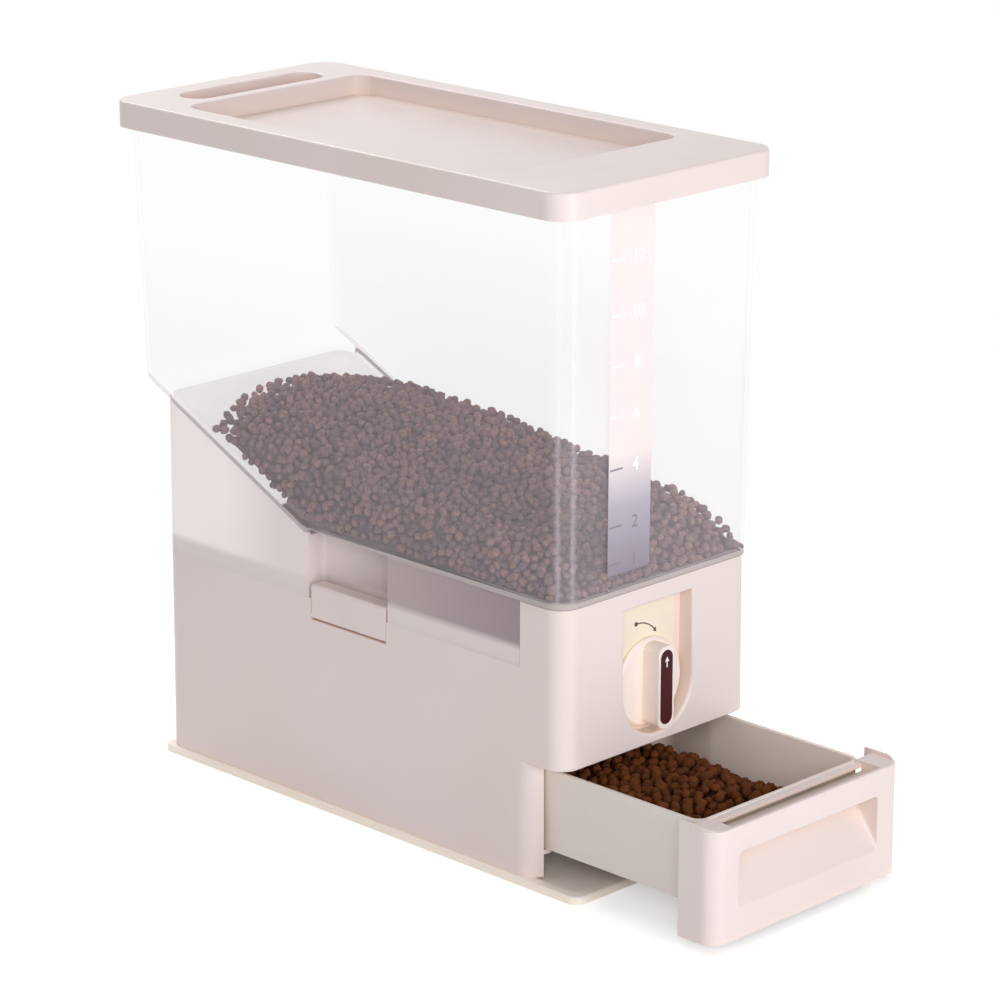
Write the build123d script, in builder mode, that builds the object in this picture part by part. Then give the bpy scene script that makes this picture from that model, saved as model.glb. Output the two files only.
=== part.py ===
"""Dry pet food container with a metering knob and a drawer.

The frame has +X to the right, +Y to the back and +Z up. Its origin is the middle of the
plinth's underside, on the table. The drawer stands pulled out, as it does in use.
"""
import os
from math import cos, radians, tan

from build123d import *

os.makedirs("parts", exist_ok=True)

# How far a cut runs past the face that it opens
cut_spare = 1.0

# Plinth, the tray that the housing stands on
plinth_width = 176.0
plinth_depth = 384.0
plinth_height = 5.0
plinth_corner = 8.0
plinth_edge_round = 1.4
plinth_floor = 3.0
plinth_border = 7.5
border_corner = 5.0

# Base housing, an opaque moulding with a front block and a drawer bay
housing_inset = 2.4
housing_wall = 2.4
housing_draft = 0.3
housing_corner = 13.8
front_step = 38.8
rim_height = 140.6
tongue_height = 10.0
tongue_wall = 1.8
tongue_root = 6.0
block_step = 15.0
block_length = 36.5
block_bottom = 80.2
block_top = 183.0
block_foot_round = 1.0
panel_draft = 0.56

# Knob recess in the front panel
axis_height = 117.0
recess_half_width = 31.0
recess_depth = 10.4
recess_drop = 12.0
recess_wall = 2.2
recess_mouth_round = 2.0

# Drawer bay
bay_clearance = 1.3
runner_width = 16.0
runner_thickness = 2.6
runner_gap = 0.3
guide_thickness = 2.0
guide_gap = 1.6
stop_wall_thickness = 2.4
stop_wall_height = 60.0

# Hopper, a clear moulding with a frosted skirt below it
hopper_wall = 2.6
hopper_floor = 3.0
hopper_side_overhang = 1.2
hopper_front_overhang = 0.7
hopper_corner = 14.0
hopper_side_draft = 0.6
hopper_front_draft = 0.4
hopper_back_draft = 2.2
hopper_back_step = 15.8
floor_rise = 3.8
slope_foot = 51.4
slope_angle = 25.7
slope_foot_round = 24.0
slope_top_round = 12.0
skirt_wall = 2.4
skirt_gap = 0.4

# Latches and the pockets that they close into
latch_middle = 11.3
latch_length = 68.3
latch_side_gap = 0.7
latch_foot_gap = 0.5
latch_wall = 2.4
latch_reach = 10.8
latch_knuckle = 3.1
latch_round = 2.0
latch_edge_round = 0.6
latch_pivot_drop = 10.8
latch_rise = 9.4
latch_gusset = 2.0
pin_radius = 2.15
pin_length = 2.2
pin_clearance = 0.05
pocket_depth = 14.0
pocket_margin = 1.6
pocket_wall = 2.0
pocket_corner = 3.0
ledge_thickness = 2.6
ledge_width = 8.0
ledge_gap = 0.3

# Lid
lid_width = 190.0
lid_front_overhang = 6.0
lid_back_overhang = 6.2
lid_height = 17.1
lid_wall = 2.4
lid_corner = 16.2
lid_edge_round = 1.8
overall_height = 440.0
tray_depth = 13.0
tray_side_border = 17.5
tray_front_border = 64.3
tray_back_border = 53.5
tray_corner = 12.0
tray_mouth_round = 1.2
slot_length = 116.0
slot_width = 25.0
bridge_width = 9.5
rib_gap = 0.8
rib_height = 8.0
rib_wall = 2.0

# Metering rotor and its chamber
rotor_radius = 28.0
rotor_length = 80.0
rotor_gap = 0.6
rotor_end_gap = 0.7
rotor_hub = 9.0
rotor_vane = 2.4
rotor_disc = 2.0
rotor_vanes = 4
chamber_wall = 2.4
chamber_plate = 3.0
chamber_plate_margin = 5.0
inlet_width = 40.0
inlet_length = 56.0
inlet_height = 160.0
inlet_flange = 4.0
inlet_flange_thickness = 2.2
outlet_height = 83.0
cover_thickness = 2.5
cover_side = 66.0
cover_corner = 8.0
cover_screw_spacing = 55.0
cover_boss_radius = 3.5
cover_boss_length = 6.0
neck_wall = 2.2
neck_step = 1.2
seal_thickness = 2.0
wiper_thickness = 1.6
wiper_height = 12.0
wiper_gap = 0.5

# Shaft, bushes and knob
shaft_radius = 4.0
shaft_flat = 0.8
seat_clearance = 0.03
bush_clearance = 0.05
bush_wall = 2.5
bush_flange = 2.0
bush_flange_thickness = 1.5
bush_gap = 0.5
clip_radius = 6.5
clip_thickness = 1.0
clip_gap = 0.3
clip_groove = 0.8
shaft_tail = 2.2
knob_radius = 28.5
knob_disc = 3.1
knob_bevel = 1.6
knob_gap = 0.3
knob_hub = 6.5
grip_width = 14.0
grip_half_length = 26.5
grip_height = 13.3
grip_round = 2.0
insert_width = 10.4
insert_length = 48.0
insert_thickness = 2.0
insert_gap = 0.1
insert_proud = 0.3
dial_plate_thickness = 1.0
dial_plate_half_width = 24.4
dial_plate_gap = 0.2
boss_spacing_x = 78.0
boss_spacing_z = 42.0
boss_radius = 4.0

# Screws
screw_radius = 1.5
screw_clearance = 0.05
screw_hole = 1.8
screw_head = 3.0
screw_head_height = 1.8
screw_length = 11.0
drawer_screw_length = 10.0
post_radius = 4.5
post_height = 15.0
post_overlap = 1.4
screw_tip_gap = 0.5
column_post_radius = 3.3

# Drawer
drawer_pull = 124.4
drawer_flush_gap = 0.5
cap_width = 171.6
cap_depth = 28.5
cap_height = 71.4
cap_lift = 0.6
cap_wall = 2.4
cap_corner = 11.0
cap_top_setback = 6.2
cap_lip_height = 2.0
cap_edge_round = 0.8
trough_half_length = 68.0
trough_width = 15.5
trough_depth = 6.5
trough_ledge_drop = 1.8
scoop_half_width = 63.5
scoop_bottom = 19.5
scoop_height = 34.7
scoop_depth = 19.6
scoop_roof = 7.0
scoop_wall = 2.0
scoop_corner_round = 3.0
scoop_mouth_round = 1.2
bin_width = 149.0
bin_side_draft = 2.5
bin_corner = 9.0
bin_wall = 2.8
bin_floor = 2.6
bin_top = 76.0
bin_bottom = 22.0
bin_length = 162.0
bin_rim_round = 1.0
bin_seat_gap = 0.2
lug_width = 3.4
lug_length = 3.6
lug_height = 9.0
drawer_boss_spacing = 90.0
drawer_boss_radius = 3.4

# Worked out from the sizes above
plinth_front = -plinth_depth / 2
plinth_back = plinth_depth / 2
foot_half_width = plinth_width / 2 - housing_inset
housing_front = plinth_front + front_step
housing_back = plinth_back - housing_inset
block_front = plinth_front + block_step
block_back = block_front + block_length
recess_top = block_top - recess_drop
latch_pivot_height = rim_height - latch_pivot_drop
latch_top = rim_height + latch_rise
plate_face = block_front + recess_depth
recess_back = plate_face + dial_plate_thickness
chamber_front = recess_back + recess_wall
rotor_front = chamber_front + chamber_plate + rotor_end_gap
rotor_back = rotor_front + rotor_length
rotor_middle = (rotor_front + rotor_back) / 2
cover_front = rotor_back + rotor_end_gap
cover_back = cover_front + cover_thickness
chamber_bore = rotor_radius + rotor_gap
chamber_radius = chamber_bore + chamber_wall
bush_radius = shaft_radius + bush_wall
lid_plate_bottom = overall_height - lid_wall
lid_bottom = overall_height - lid_height
runner_top = bin_bottom - runner_gap
bay_half_width = bin_width / 2 + bay_clearance
face_closed = block_front + drawer_flush_gap
face_front = face_closed - drawer_pull
cap_rear = face_front + cap_depth
cap_bottom = plinth_height + cap_lift
cap_top = cap_bottom + cap_height
bin_front = cap_rear - cap_top_setback + bin_seat_gap
bin_rear = bin_front + bin_length
stop_wall_front = bin_rear + drawer_pull + bay_clearance
pocket_half_length = latch_length / 2 + latch_side_gap
reach = 2 * lid_width


def lean(height, angle):
    """How far a wall at this angle of draft moves sideways over a height."""
    return height * tan(radians(angle))


def half_width_at(z):
    """Outer half width of the housing at a height."""
    return foot_half_width - lean(z - plinth_height, housing_draft)


def back_at(z):
    """Outer face of the housing's back wall at a height."""
    return housing_back - lean(z - plinth_height, housing_draft)


def panel_at(z):
    """Outer face of the front panel at a height."""
    return block_front + lean(z - block_bottom, panel_draft)


def upright(y):
    """An upright work plane that faces the front, with X to the right and Z up."""
    return Plane.XZ.offset(-y)


def outline(z, half_width, front, back, corner):
    """A rounded rectangle at a height, given by its sides."""
    with BuildSketch(Plane.XY.offset(z)) as shape:
        with Locations((0, (front + back) / 2)):
            RectangleRounded(2 * half_width, back - front, corner)
    return shape.sketch


def housing_outline(z, inset=0.0):
    """The housing's plan at a height, drawn in by an inset."""
    width = half_width_at(z) - inset
    return outline(z, width, housing_front + inset, back_at(z) - inset, housing_corner - inset)


def block_outline(z, inset=0.0, tail=0.0):
    """The front block's plan at a height, square at the back."""
    front = panel_at(z) + inset
    back = block_back + tail
    with BuildSketch(Plane.XY.offset(z)) as shape:
        with Locations((0, (front + back) / 2)):
            Rectangle(2 * (half_width_at(z) - inset), back - front)
        fillet(shape.vertices().group_by(Axis.Y)[0], housing_corner - inset)
    return shape.sketch


def hopper_sides(z):
    """Outer half width, front and back of the hopper at a height."""
    rise = z - block_top
    width = half_width_at(block_top) + hopper_side_overhang + lean(rise, hopper_side_draft)
    front = panel_at(block_top) - hopper_front_overhang - lean(rise, hopper_front_draft)
    back = back_at(block_top) + hopper_back_step + lean(rise, hopper_back_draft)
    return width, front, back


def hopper_outline(z, inset=0.0):
    """The hopper's plan at a height, drawn in by an inset."""
    width, front, back = hopper_sides(z)
    return outline(z, width - inset, front + inset, back - inset, hopper_corner - inset)


floor_back = block_top + floor_rise
slope = tan(radians(slope_angle))
hopper_back = hopper_sides(floor_back)[2]
crease_height = floor_back + (hopper_back - slope_foot) * slope


def under_floor(lift, spare):
    """All that lies under the hopper's floor and slope, raised by a thickness."""
    slope_lift = lift / cos(radians(slope_angle))
    knee = slope_foot + (lift - slope_lift) / slope
    back = hopper_sides(crease_height)[2] + spare
    crease = floor_back + slope_lift + (back - slope_foot) * slope
    round_more = hopper_floor - lift
    with BuildSketch(Plane.YZ) as shape:
        with BuildLine():
            Polyline(
                (-reach, 0),
                (-reach, block_top + lift),
                (block_back, block_top + lift),
                (knee, floor_back + lift),
                (back, crease),
                (hopper_sides(crease_height + lid_width)[2] + spare, crease + lid_width),
                (reach, crease + lid_width),
                (reach, 0),
                close=True,
            )
        make_face()
        knee_corner = shape.vertices().sort_by_distance((knee, floor_back + lift))[0]
        fillet(knee_corner, slope_foot_round + round_more)
        crease_corner = shape.vertices().sort_by_distance((back, crease))[0]
        fillet(crease_corner, slope_top_round + round_more)
    return shape.sketch


def recess_outline(y, grow=0.0):
    """The knob recess, square at the top and round at the bottom."""
    radius = recess_half_width + grow
    with BuildSketch(upright(y)) as shape:
        with Locations((0, axis_height)):
            Circle(radius)
        with Locations((0, (axis_height + recess_top + grow) / 2)):
            Rectangle(2 * radius, recess_top + grow - axis_height)
    return shape.sketch


def screw_group(places, length=screw_length):
    """Pan head screws, each with its head towards its own +Z."""
    with BuildPart() as screws:
        with Locations(*places):
            Cylinder(screw_radius, length, align=(Align.CENTER, Align.CENTER, Align.MAX))
            Cylinder(screw_head, screw_head_height, align=(Align.CENTER, Align.CENTER, Align.MIN))
    return screws.part


def save(part, name):
    """Name a finished piece and write it."""
    part.label = name
    export_step(part, f"parts/{name}.step")


# Places of the fasteners
column_post_x = bay_half_width + column_post_radius + 0.4
corner_x = foot_half_width - housing_corner
corner_bore = housing_corner - housing_wall
column_offset = corner_bore + post_overlap - column_post_radius
column_rise = (column_offset**2 - (column_post_x - corner_x) ** 2) ** 0.5
back_offset = (corner_bore + post_overlap - post_radius) / 2**0.5
post_places = [
    (column_post_x, housing_front + housing_corner - column_rise),
    (foot_half_width - housing_wall - post_radius + post_overlap, slope_foot - post_height),
    (corner_x + back_offset, housing_back - housing_corner + back_offset),
]
post_radii = [column_post_radius, post_radius, post_radius]
post_points = [(side * x, y) for side in (-1, 1) for x, y in post_places]
post_sizes = post_radii + post_radii
boss_points = [
    (x * boss_spacing_x / 2, axis_height + z * boss_spacing_z / 2) for x in (-1, 1) for z in (-1, 1)
]
cover_points = [
    (x * cover_screw_spacing / 2, axis_height + z * cover_screw_spacing / 2)
    for x in (-1, 1)
    for z in (-1, 1)
]
drawer_boss_height = cap_top - cap_wall - trough_depth - drawer_boss_radius - 0.2
drawer_boss_points = [(side * drawer_boss_spacing / 2, drawer_boss_height) for side in (-1, 1)]

# Plinth
with BuildPart() as base_plate:
    with BuildSketch():
        RectangleRounded(plinth_width, plinth_depth, plinth_corner)
    extrude(amount=plinth_height)
    fillet(base_plate.edges().group_by(Axis.Z)[-1], plinth_edge_round)
    with BuildSketch(Plane.XY.offset(plinth_floor)):
        RectangleRounded(
            plinth_width - 2 * plinth_border, plinth_depth - 2 * plinth_border, border_corner
        )
    extrude(amount=plinth_height, mode=Mode.SUBTRACT)
    for (x, y), radius in zip(post_points, post_sizes):
        with BuildSketch(Plane.XY.offset(plinth_floor / 2)):
            with Locations((x, y)):
                Circle(radius)
        extrude(amount=plinth_height - plinth_floor / 2)
    for x, y in post_points:
        with BuildSketch():
            with Locations((x, y)):
                Circle(screw_hole)
        extrude(amount=plinth_height, mode=Mode.SUBTRACT)
        with BuildSketch():
            with Locations((x, y)):
                Circle(screw_head + screw_clearance)
        extrude(amount=screw_head_height + screw_clearance, mode=Mode.SUBTRACT)
save(base_plate.part, "base_plate")

base_screws = screw_group(
    [Location((x, y, screw_head_height + screw_clearance), (180, 0, 0)) for x, y in post_points]
)
save(base_screws, "base_screws")

# The tongue that rises inside the skirt, all round behind the block
tongue_outer = skirt_wall + skirt_gap
tongue_inner = tongue_outer + tongue_wall
tongue_foot = rim_height - tongue_root
tongue_top = rim_height + tongue_height
with BuildPart() as housing_tongue:
    loft([housing_outline(tongue_foot, tongue_outer), housing_outline(tongue_top, tongue_outer)])
    loft([housing_outline(tongue_foot, housing_wall / 2), housing_outline(rim_height, housing_wall / 2)])
    loft(
        [housing_outline(tongue_foot, tongue_inner), housing_outline(tongue_top, tongue_inner)],
        mode=Mode.SUBTRACT,
    )
    with BuildSketch(Plane.XY):
        with Locations((0, block_back - reach / 2)):
            Rectangle(reach, reach)
    extrude(amount=block_top, mode=Mode.SUBTRACT)
    with BuildSketch(Plane.XY.offset(tongue_foot)):
        with Locations((0, latch_middle)):
            Rectangle(reach, 2 * (pocket_half_length + pocket_margin + pocket_wall + skirt_gap))
    extrude(amount=block_top, mode=Mode.SUBTRACT)

# Base housing
pocket_inner = half_width_at(rim_height) - pocket_depth
notch_bottom = latch_pivot_height - latch_knuckle - latch_foot_gap
notch_outer = foot_half_width + cut_spare
ear_thickness = pin_length + latch_side_gap + 0.4
pivot_x = half_width_at(latch_pivot_height) - latch_knuckle
with BuildPart() as base_housing:
    loft([housing_outline(plinth_height), housing_outline(rim_height)])
    loft([block_outline(block_bottom), block_outline(block_top)])
    loft(
        [housing_outline(plinth_height, housing_wall), housing_outline(rim_height, housing_wall)],
        mode=Mode.SUBTRACT,
    )
    soffit_top = block_bottom + housing_wall
    block_foot = base_housing.edges().filter_by(
        lambda edge: edge.center().Y < housing_front and abs(edge.center().Z - block_bottom) < 0.01
    )
    fillet(block_foot, block_foot_round)
    loft(
        [
            block_outline(soffit_top, housing_wall, cut_spare),
            block_outline(block_top, housing_wall, cut_spare),
        ],
        mode=Mode.SUBTRACT,
    )
    add(housing_tongue.part)
    # Opening for the drawer, and the way down to it from the chamber
    bay_front = housing_front + housing_wall
    bay_back = block_back + cut_spare
    with BuildSketch(Plane.XY.offset(block_bottom)):
        with Locations((0, (bay_front + bay_back) / 2)):
            Rectangle(2 * bay_half_width, bay_back - bay_front)
    extrude(amount=housing_wall, mode=Mode.SUBTRACT)
    with BuildSketch(upright(housing_front - cut_spare)):
        with Locations((0, (plinth_height + bin_top + guide_gap) / 2)):
            Rectangle(2 * bay_half_width, bin_top + guide_gap - plinth_height)
    extrude(amount=-(housing_wall + 2 * cut_spare), mode=Mode.SUBTRACT)
    # Knob recess, with the wall behind it
    extrude(recess_outline(chamber_front, recess_wall), amount=chamber_front - panel_at(block_top))
    extrude(recess_outline(recess_back), amount=recess_depth + reach, mode=Mode.SUBTRACT)
    panel_middle = panel_at(axis_height)
    recess_mouth = base_housing.edges().filter_by(
        lambda edge: abs(edge.center().Y - panel_middle) < housing_wall / 2
        and abs(edge.center().X) < recess_half_width + cut_spare
        and axis_height - recess_half_width - cut_spare < edge.center().Z < block_top - cut_spare
    )
    fillet(recess_mouth, recess_mouth_round)
    with BuildSketch(upright(chamber_front)):
        with Locations((0, axis_height)):
            Circle(bush_radius + bush_flange + bay_clearance)
    extrude(amount=recess_wall, mode=Mode.SUBTRACT)
    # Bosses that carry the metering chamber
    with BuildSketch(upright(chamber_front)):
        with Locations(*boss_points):
            Circle(boss_radius)
    extrude(amount=chamber_front - panel_at(block_top) - housing_wall / 2)
    with BuildSketch(upright(chamber_front)):
        with Locations(*boss_points):
            Circle(screw_radius + screw_clearance)
    extrude(amount=screw_length - chamber_plate + screw_tip_gap, mode=Mode.SUBTRACT)
    # Latch pockets in both sides
    for side in (-1, 1):
        box_outer = half_width_at(rim_height) - housing_wall / 2
        box_inner = pocket_inner - pocket_wall
        with BuildSketch(Plane.XY.offset(notch_bottom - pocket_wall)):
            with Locations((side * (box_outer + box_inner) / 2, latch_middle)):
                Rectangle(box_outer - box_inner, 2 * (pocket_half_length + ear_thickness))
        extrude(amount=rim_height - notch_bottom + pocket_wall)
        with BuildSketch(Plane.XY.offset(notch_bottom)):
            with Locations((side * (pocket_inner + notch_outer) / 2, latch_middle)):
                Rectangle(notch_outer - pocket_inner, 2 * pocket_half_length)
        extrude(amount=rim_height, mode=Mode.SUBTRACT)
        with BuildSketch(upright(latch_middle)):
            with Locations((side * pivot_x, latch_pivot_height)):
                Circle(pin_radius + pin_clearance)
        extrude(
            amount=pocket_half_length + pin_length + latch_side_gap / 2,
            both=True,
            mode=Mode.SUBTRACT,
        )
    # Runners under the drawer, guides above it and the wall that it stops against
    half_wall = housing_wall / 2
    runner_outer = half_width_at(bin_bottom) - half_wall
    runner_front = housing_front + half_wall
    runner_inner = outline(
        0, runner_outer - runner_width, runner_front - half_wall, stop_wall_front + half_wall, half_wall
    )
    runner_round = housing_corner - half_wall
    runner_plan = outline(0, runner_outer, runner_front, stop_wall_front, runner_round) - runner_inner
    for top, thickness in (
        (runner_top, runner_thickness),
        (bin_top + guide_gap + guide_thickness, guide_thickness),
    ):
        extrude(Plane.XY.offset(top - thickness) * runner_plan, amount=thickness)
    with BuildSketch(Plane.XY.offset(plinth_height)):
        with Locations((0, stop_wall_front + stop_wall_thickness / 2)):
            Rectangle(2 * foot_half_width - housing_wall, stop_wall_thickness)
    extrude(amount=stop_wall_height)
    # Posts for the base screws
    for (x, y), radius in zip(post_points, post_sizes):
        with BuildSketch(Plane.XY.offset(plinth_height)):
            with Locations((x, y)):
                Circle(radius)
        extrude(amount=post_height)
    with BuildSketch(Plane.XY.offset(plinth_height)):
        with Locations(*post_points):
            Circle(screw_radius + screw_clearance)
    extrude(amount=post_height - housing_wall, mode=Mode.SUBTRACT)
save(base_housing.part, "base_housing")

# Hopper bowl, cavity and skirt, then the whole moulding
with BuildPart() as hopper_bowl:
    loft([hopper_outline(block_top), hopper_outline(lid_plate_bottom)])
    extrude(under_floor(0, cut_spare), amount=reach, both=True, mode=Mode.SUBTRACT)
with BuildPart() as hopper_cavity:
    cavity_top = lid_plate_bottom + cut_spare
    loft([hopper_outline(block_top, hopper_wall), hopper_outline(cavity_top, hopper_wall)])
    extrude(
        under_floor(hopper_floor, cut_spare - hopper_wall),
        amount=reach,
        both=True,
        mode=Mode.SUBTRACT,
    )
with BuildPart() as hopper_skirt:
    loft([housing_outline(rim_height), housing_outline(crease_height)])
    loft(
        [housing_outline(rim_height, skirt_wall), housing_outline(crease_height, skirt_wall)],
        mode=Mode.SUBTRACT,
    )
    for side in (-1, 1):
        wall_outer = half_width_at(rim_height) - skirt_wall / 2
        wall_inner = pocket_inner - pocket_wall
        with BuildSketch(Plane.XY.offset(rim_height)):
            with Locations((side * (wall_outer + wall_inner) / 2, latch_middle)):
                Rectangle(
                    wall_outer - wall_inner,
                    2 * (pocket_half_length + pocket_margin + pocket_wall),
                )
        extrude(amount=crease_height - rim_height)
    for side in (-1, 1):
        with BuildSketch(Plane.XY.offset(rim_height)):
            with Locations((side * (pocket_inner + foot_half_width), latch_middle)):
                RectangleRounded(
                    2 * foot_half_width,
                    2 * (pocket_half_length + pocket_margin),
                    pocket_corner,
                )
        extrude(amount=crease_height, mode=Mode.SUBTRACT)
    with BuildSketch(Plane.XY):
        with Locations((0, reach / 2 + block_back + skirt_gap)):
            Rectangle(reach, reach)
    extrude(amount=reach, mode=Mode.INTERSECT)
    extrude(under_floor(hopper_floor / 2, cut_spare), amount=reach, both=True, mode=Mode.INTERSECT)
    # Ledges that the latches hold down
    for side in (-1, 1):
        with BuildSketch(Plane.XY.offset(latch_top - latch_wall - ledge_gap)):
            with Locations((side * (pocket_inner + ledge_width / 2 - pocket_wall / 2), latch_middle)):
                Rectangle(
                    ledge_width + pocket_wall, latch_length - 2 * latch_gusset - 2 * latch_side_gap
                )
        extrude(amount=-ledge_thickness)
neck_half_width = inlet_width / 2 - neck_step
neck_half_length = inlet_length / 2 - neck_step
with BuildPart() as hopper:
    add(hopper_bowl.part)
    add(hopper_skirt.part)
    add(hopper_cavity.part, mode=Mode.SUBTRACT)
    with BuildSketch(Plane.XY.offset(inlet_height + seal_thickness)):
        with Locations((0, rotor_middle)):
            Rectangle(2 * (neck_half_width + neck_wall), 2 * (neck_half_length + neck_wall))
    extrude(amount=block_top + hopper_floor - inlet_height - seal_thickness)
    with BuildSketch(Plane.XY.offset(inlet_height)):
        with Locations((0, rotor_middle)):
            RectangleRounded(2 * neck_half_width, 2 * neck_half_length, neck_wall)
    extrude(amount=block_top, mode=Mode.SUBTRACT)
save(hopper.part, "hopper")

with BuildPart() as outlet_seal:
    with BuildSketch(Plane.XY.offset(inlet_height)):
        with Locations((0, rotor_middle)):
            Rectangle(inlet_width + 2 * inlet_flange, inlet_length + 2 * inlet_flange)
            Rectangle(2 * neck_half_width, 2 * neck_half_length, mode=Mode.SUBTRACT)
    extrude(amount=seal_thickness)
save(outlet_seal.part, "outlet_seal")

# Lid
rim_width, rim_front, rim_back = hopper_sides(lid_bottom)
lid_front = rim_front - lid_front_overhang
lid_back = rim_back + lid_back_overhang
tray_front = lid_front + tray_front_border
tray_back = lid_back - tray_back_border
tray_half_width = lid_width / 2 - tray_side_border
slot_middle = tray_back + bridge_width + slot_width / 2
slot_back = slot_middle + slot_width / 2
tray_floor = overall_height - tray_depth


def lid_outline(z, inset=0.0):
    """The lid's plan, drawn in by an inset."""
    return outline(z, lid_width / 2 - inset, lid_front + inset, lid_back - inset, lid_corner - inset)


def tray_outline(z, grow=0.0):
    """The lid's tray, grown by a wall."""
    half_width = tray_half_width + grow
    return outline(z, half_width, tray_front - grow, tray_back + grow, tray_corner + grow)


def slot_outline(z, grow=0.0):
    """The lid's finger slot, grown by a wall."""
    with BuildSketch(Plane.XY.offset(z)) as shape:
        with Locations((0, slot_middle)):
            SlotOverall(slot_length + 2 * grow, slot_width + 2 * grow)
    return shape.sketch


with BuildPart() as lid:
    extrude(lid_outline(lid_bottom), amount=lid_height)
    fillet(lid.edges().group_by(Axis.Z)[-1], lid_edge_round)
    extrude(lid_outline(lid_bottom, lid_wall), amount=lid_height - lid_wall, mode=Mode.SUBTRACT)
    extrude(tray_outline(tray_floor - lid_wall, lid_wall), amount=tray_depth)
    extrude(slot_outline(tray_floor - lid_wall, lid_wall), amount=tray_depth)
    extrude(hopper_outline(lid_plate_bottom, hopper_wall + rib_gap), amount=-rib_height)
    extrude(
        hopper_outline(lid_plate_bottom, hopper_wall + rib_gap + rib_wall),
        amount=-rib_height,
        mode=Mode.SUBTRACT,
    )
    extrude(tray_outline(tray_floor - lid_wall, lid_wall), amount=tray_depth)
    extrude(slot_outline(tray_floor - lid_wall, lid_wall), amount=tray_depth)
    extrude(tray_outline(tray_floor), amount=tray_depth, mode=Mode.SUBTRACT)
    extrude(slot_outline(tray_floor), amount=tray_depth, mode=Mode.SUBTRACT)
    mouths = lid.edges().group_by(Axis.Z)[-1].filter_by(
        lambda edge: abs(edge.center().X) < tray_half_width + cut_spare
        and abs(2 * edge.center().Y - tray_front - slot_back) < slot_back - tray_front + cut_spare
    )
    fillet(mouths, tray_mouth_round)
save(lid.part, "lid")

# Metering chamber
with BuildPart() as rotor_housing:
    with BuildSketch(upright(chamber_front)):
        with Locations((0, axis_height)):
            RectangleRounded(
                boss_spacing_x + 2 * chamber_plate_margin,
                2 * chamber_radius,
                chamber_plate_margin,
            )
    extrude(amount=-chamber_plate)
    with BuildSketch(upright(chamber_front)):
        with Locations((0, axis_height)):
            Circle(chamber_radius)
    extrude(amount=-(cover_front - chamber_front))
    with BuildSketch(upright(cover_front)):
        with Locations((0, axis_height)):
            RectangleRounded(cover_side, cover_side, cover_corner)
    extrude(amount=cover_thickness)
    with BuildSketch(upright(cover_front)):
        with Locations(*cover_points):
            Circle(cover_boss_radius)
    extrude(amount=cover_thickness + cover_boss_length)
    with BuildSketch(Plane.XY.offset(outlet_height)):
        with Locations((0, rotor_middle)):
            Rectangle(inlet_width + 2 * chamber_wall, inlet_length + 2 * chamber_wall)
    extrude(amount=inlet_height - outlet_height)
    with BuildSketch(Plane.XY.offset(inlet_height)):
        with Locations((0, rotor_middle)):
            Rectangle(inlet_width + 2 * inlet_flange, inlet_length + 2 * inlet_flange)
    extrude(amount=-inlet_flange_thickness)
    with BuildSketch(upright(chamber_front + chamber_plate)):
        with Locations((0, axis_height)):
            Circle(chamber_bore)
    extrude(amount=-(cover_front - chamber_front - chamber_plate), mode=Mode.SUBTRACT)
    with BuildSketch(Plane.XY.offset(outlet_height)):
        with Locations((0, rotor_middle)):
            Rectangle(inlet_width, inlet_length)
    extrude(amount=inlet_height - outlet_height, mode=Mode.SUBTRACT)
    with BuildSketch(upright(chamber_front)):
        with Locations((0, axis_height)):
            Circle(bush_radius + seat_clearance)
        with Locations(*boss_points):
            Circle(screw_hole)
    extrude(amount=-chamber_plate, mode=Mode.SUBTRACT)
    with BuildSketch(upright(cover_front)):
        with Locations(*cover_points):
            Circle(screw_radius + screw_clearance)
    extrude(amount=cover_thickness + cover_boss_length, mode=Mode.SUBTRACT)
save(rotor_housing.part, "rotor_housing")

with BuildPart() as rotor_cover:
    with BuildSketch(upright(cover_front)):
        with Locations((0, axis_height)):
            RectangleRounded(cover_side, cover_side, cover_corner)
            Circle(bush_radius + seat_clearance, mode=Mode.SUBTRACT)
        with Locations(*cover_points):
            Circle(screw_hole, mode=Mode.SUBTRACT)
    extrude(amount=-cover_thickness)
save(rotor_cover.part, "rotor_cover")

with BuildPart() as wiper_strip:
    wiper_x = inlet_width / 2 - wiper_thickness
    wiper_foot = axis_height + (chamber_bore**2 - wiper_x**2) ** 0.5
    with BuildSketch(Plane.XY.offset(wiper_foot)):
        with Locations((wiper_x + wiper_thickness / 2, rotor_middle)):
            Rectangle(wiper_thickness, inlet_length - 2 * wiper_gap)
    extrude(amount=wiper_height)
save(wiper_strip.part, "wiper_strip")

# Rotor on its shaft
clip_front = cover_back + bush_flange_thickness + clip_gap
shaft_back = clip_front + clip_thickness + shaft_tail
knob_face = plate_face - knob_gap - knob_disc
grip_face = knob_face - grip_height
insert_floor = grip_face + insert_thickness - insert_proud
screw_seat = insert_floor + screw_head_height + screw_clearance
shaft_front = screw_seat + housing_wall
flat_height = shaft_radius - shaft_flat
hub_back = chamber_front - bush_flange_thickness - bush_gap


def shaft_section(y, clearance=0.0):
    """A shaft's round section with a flat on top."""
    radius = shaft_radius + clearance
    with BuildSketch(upright(y)) as shape:
        with Locations((0, axis_height)):
            Circle(radius)
        with Locations((0, axis_height + flat_height + clearance + radius)):
            Rectangle(4 * radius, 2 * radius, mode=Mode.SUBTRACT)
    return shape.sketch


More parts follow.
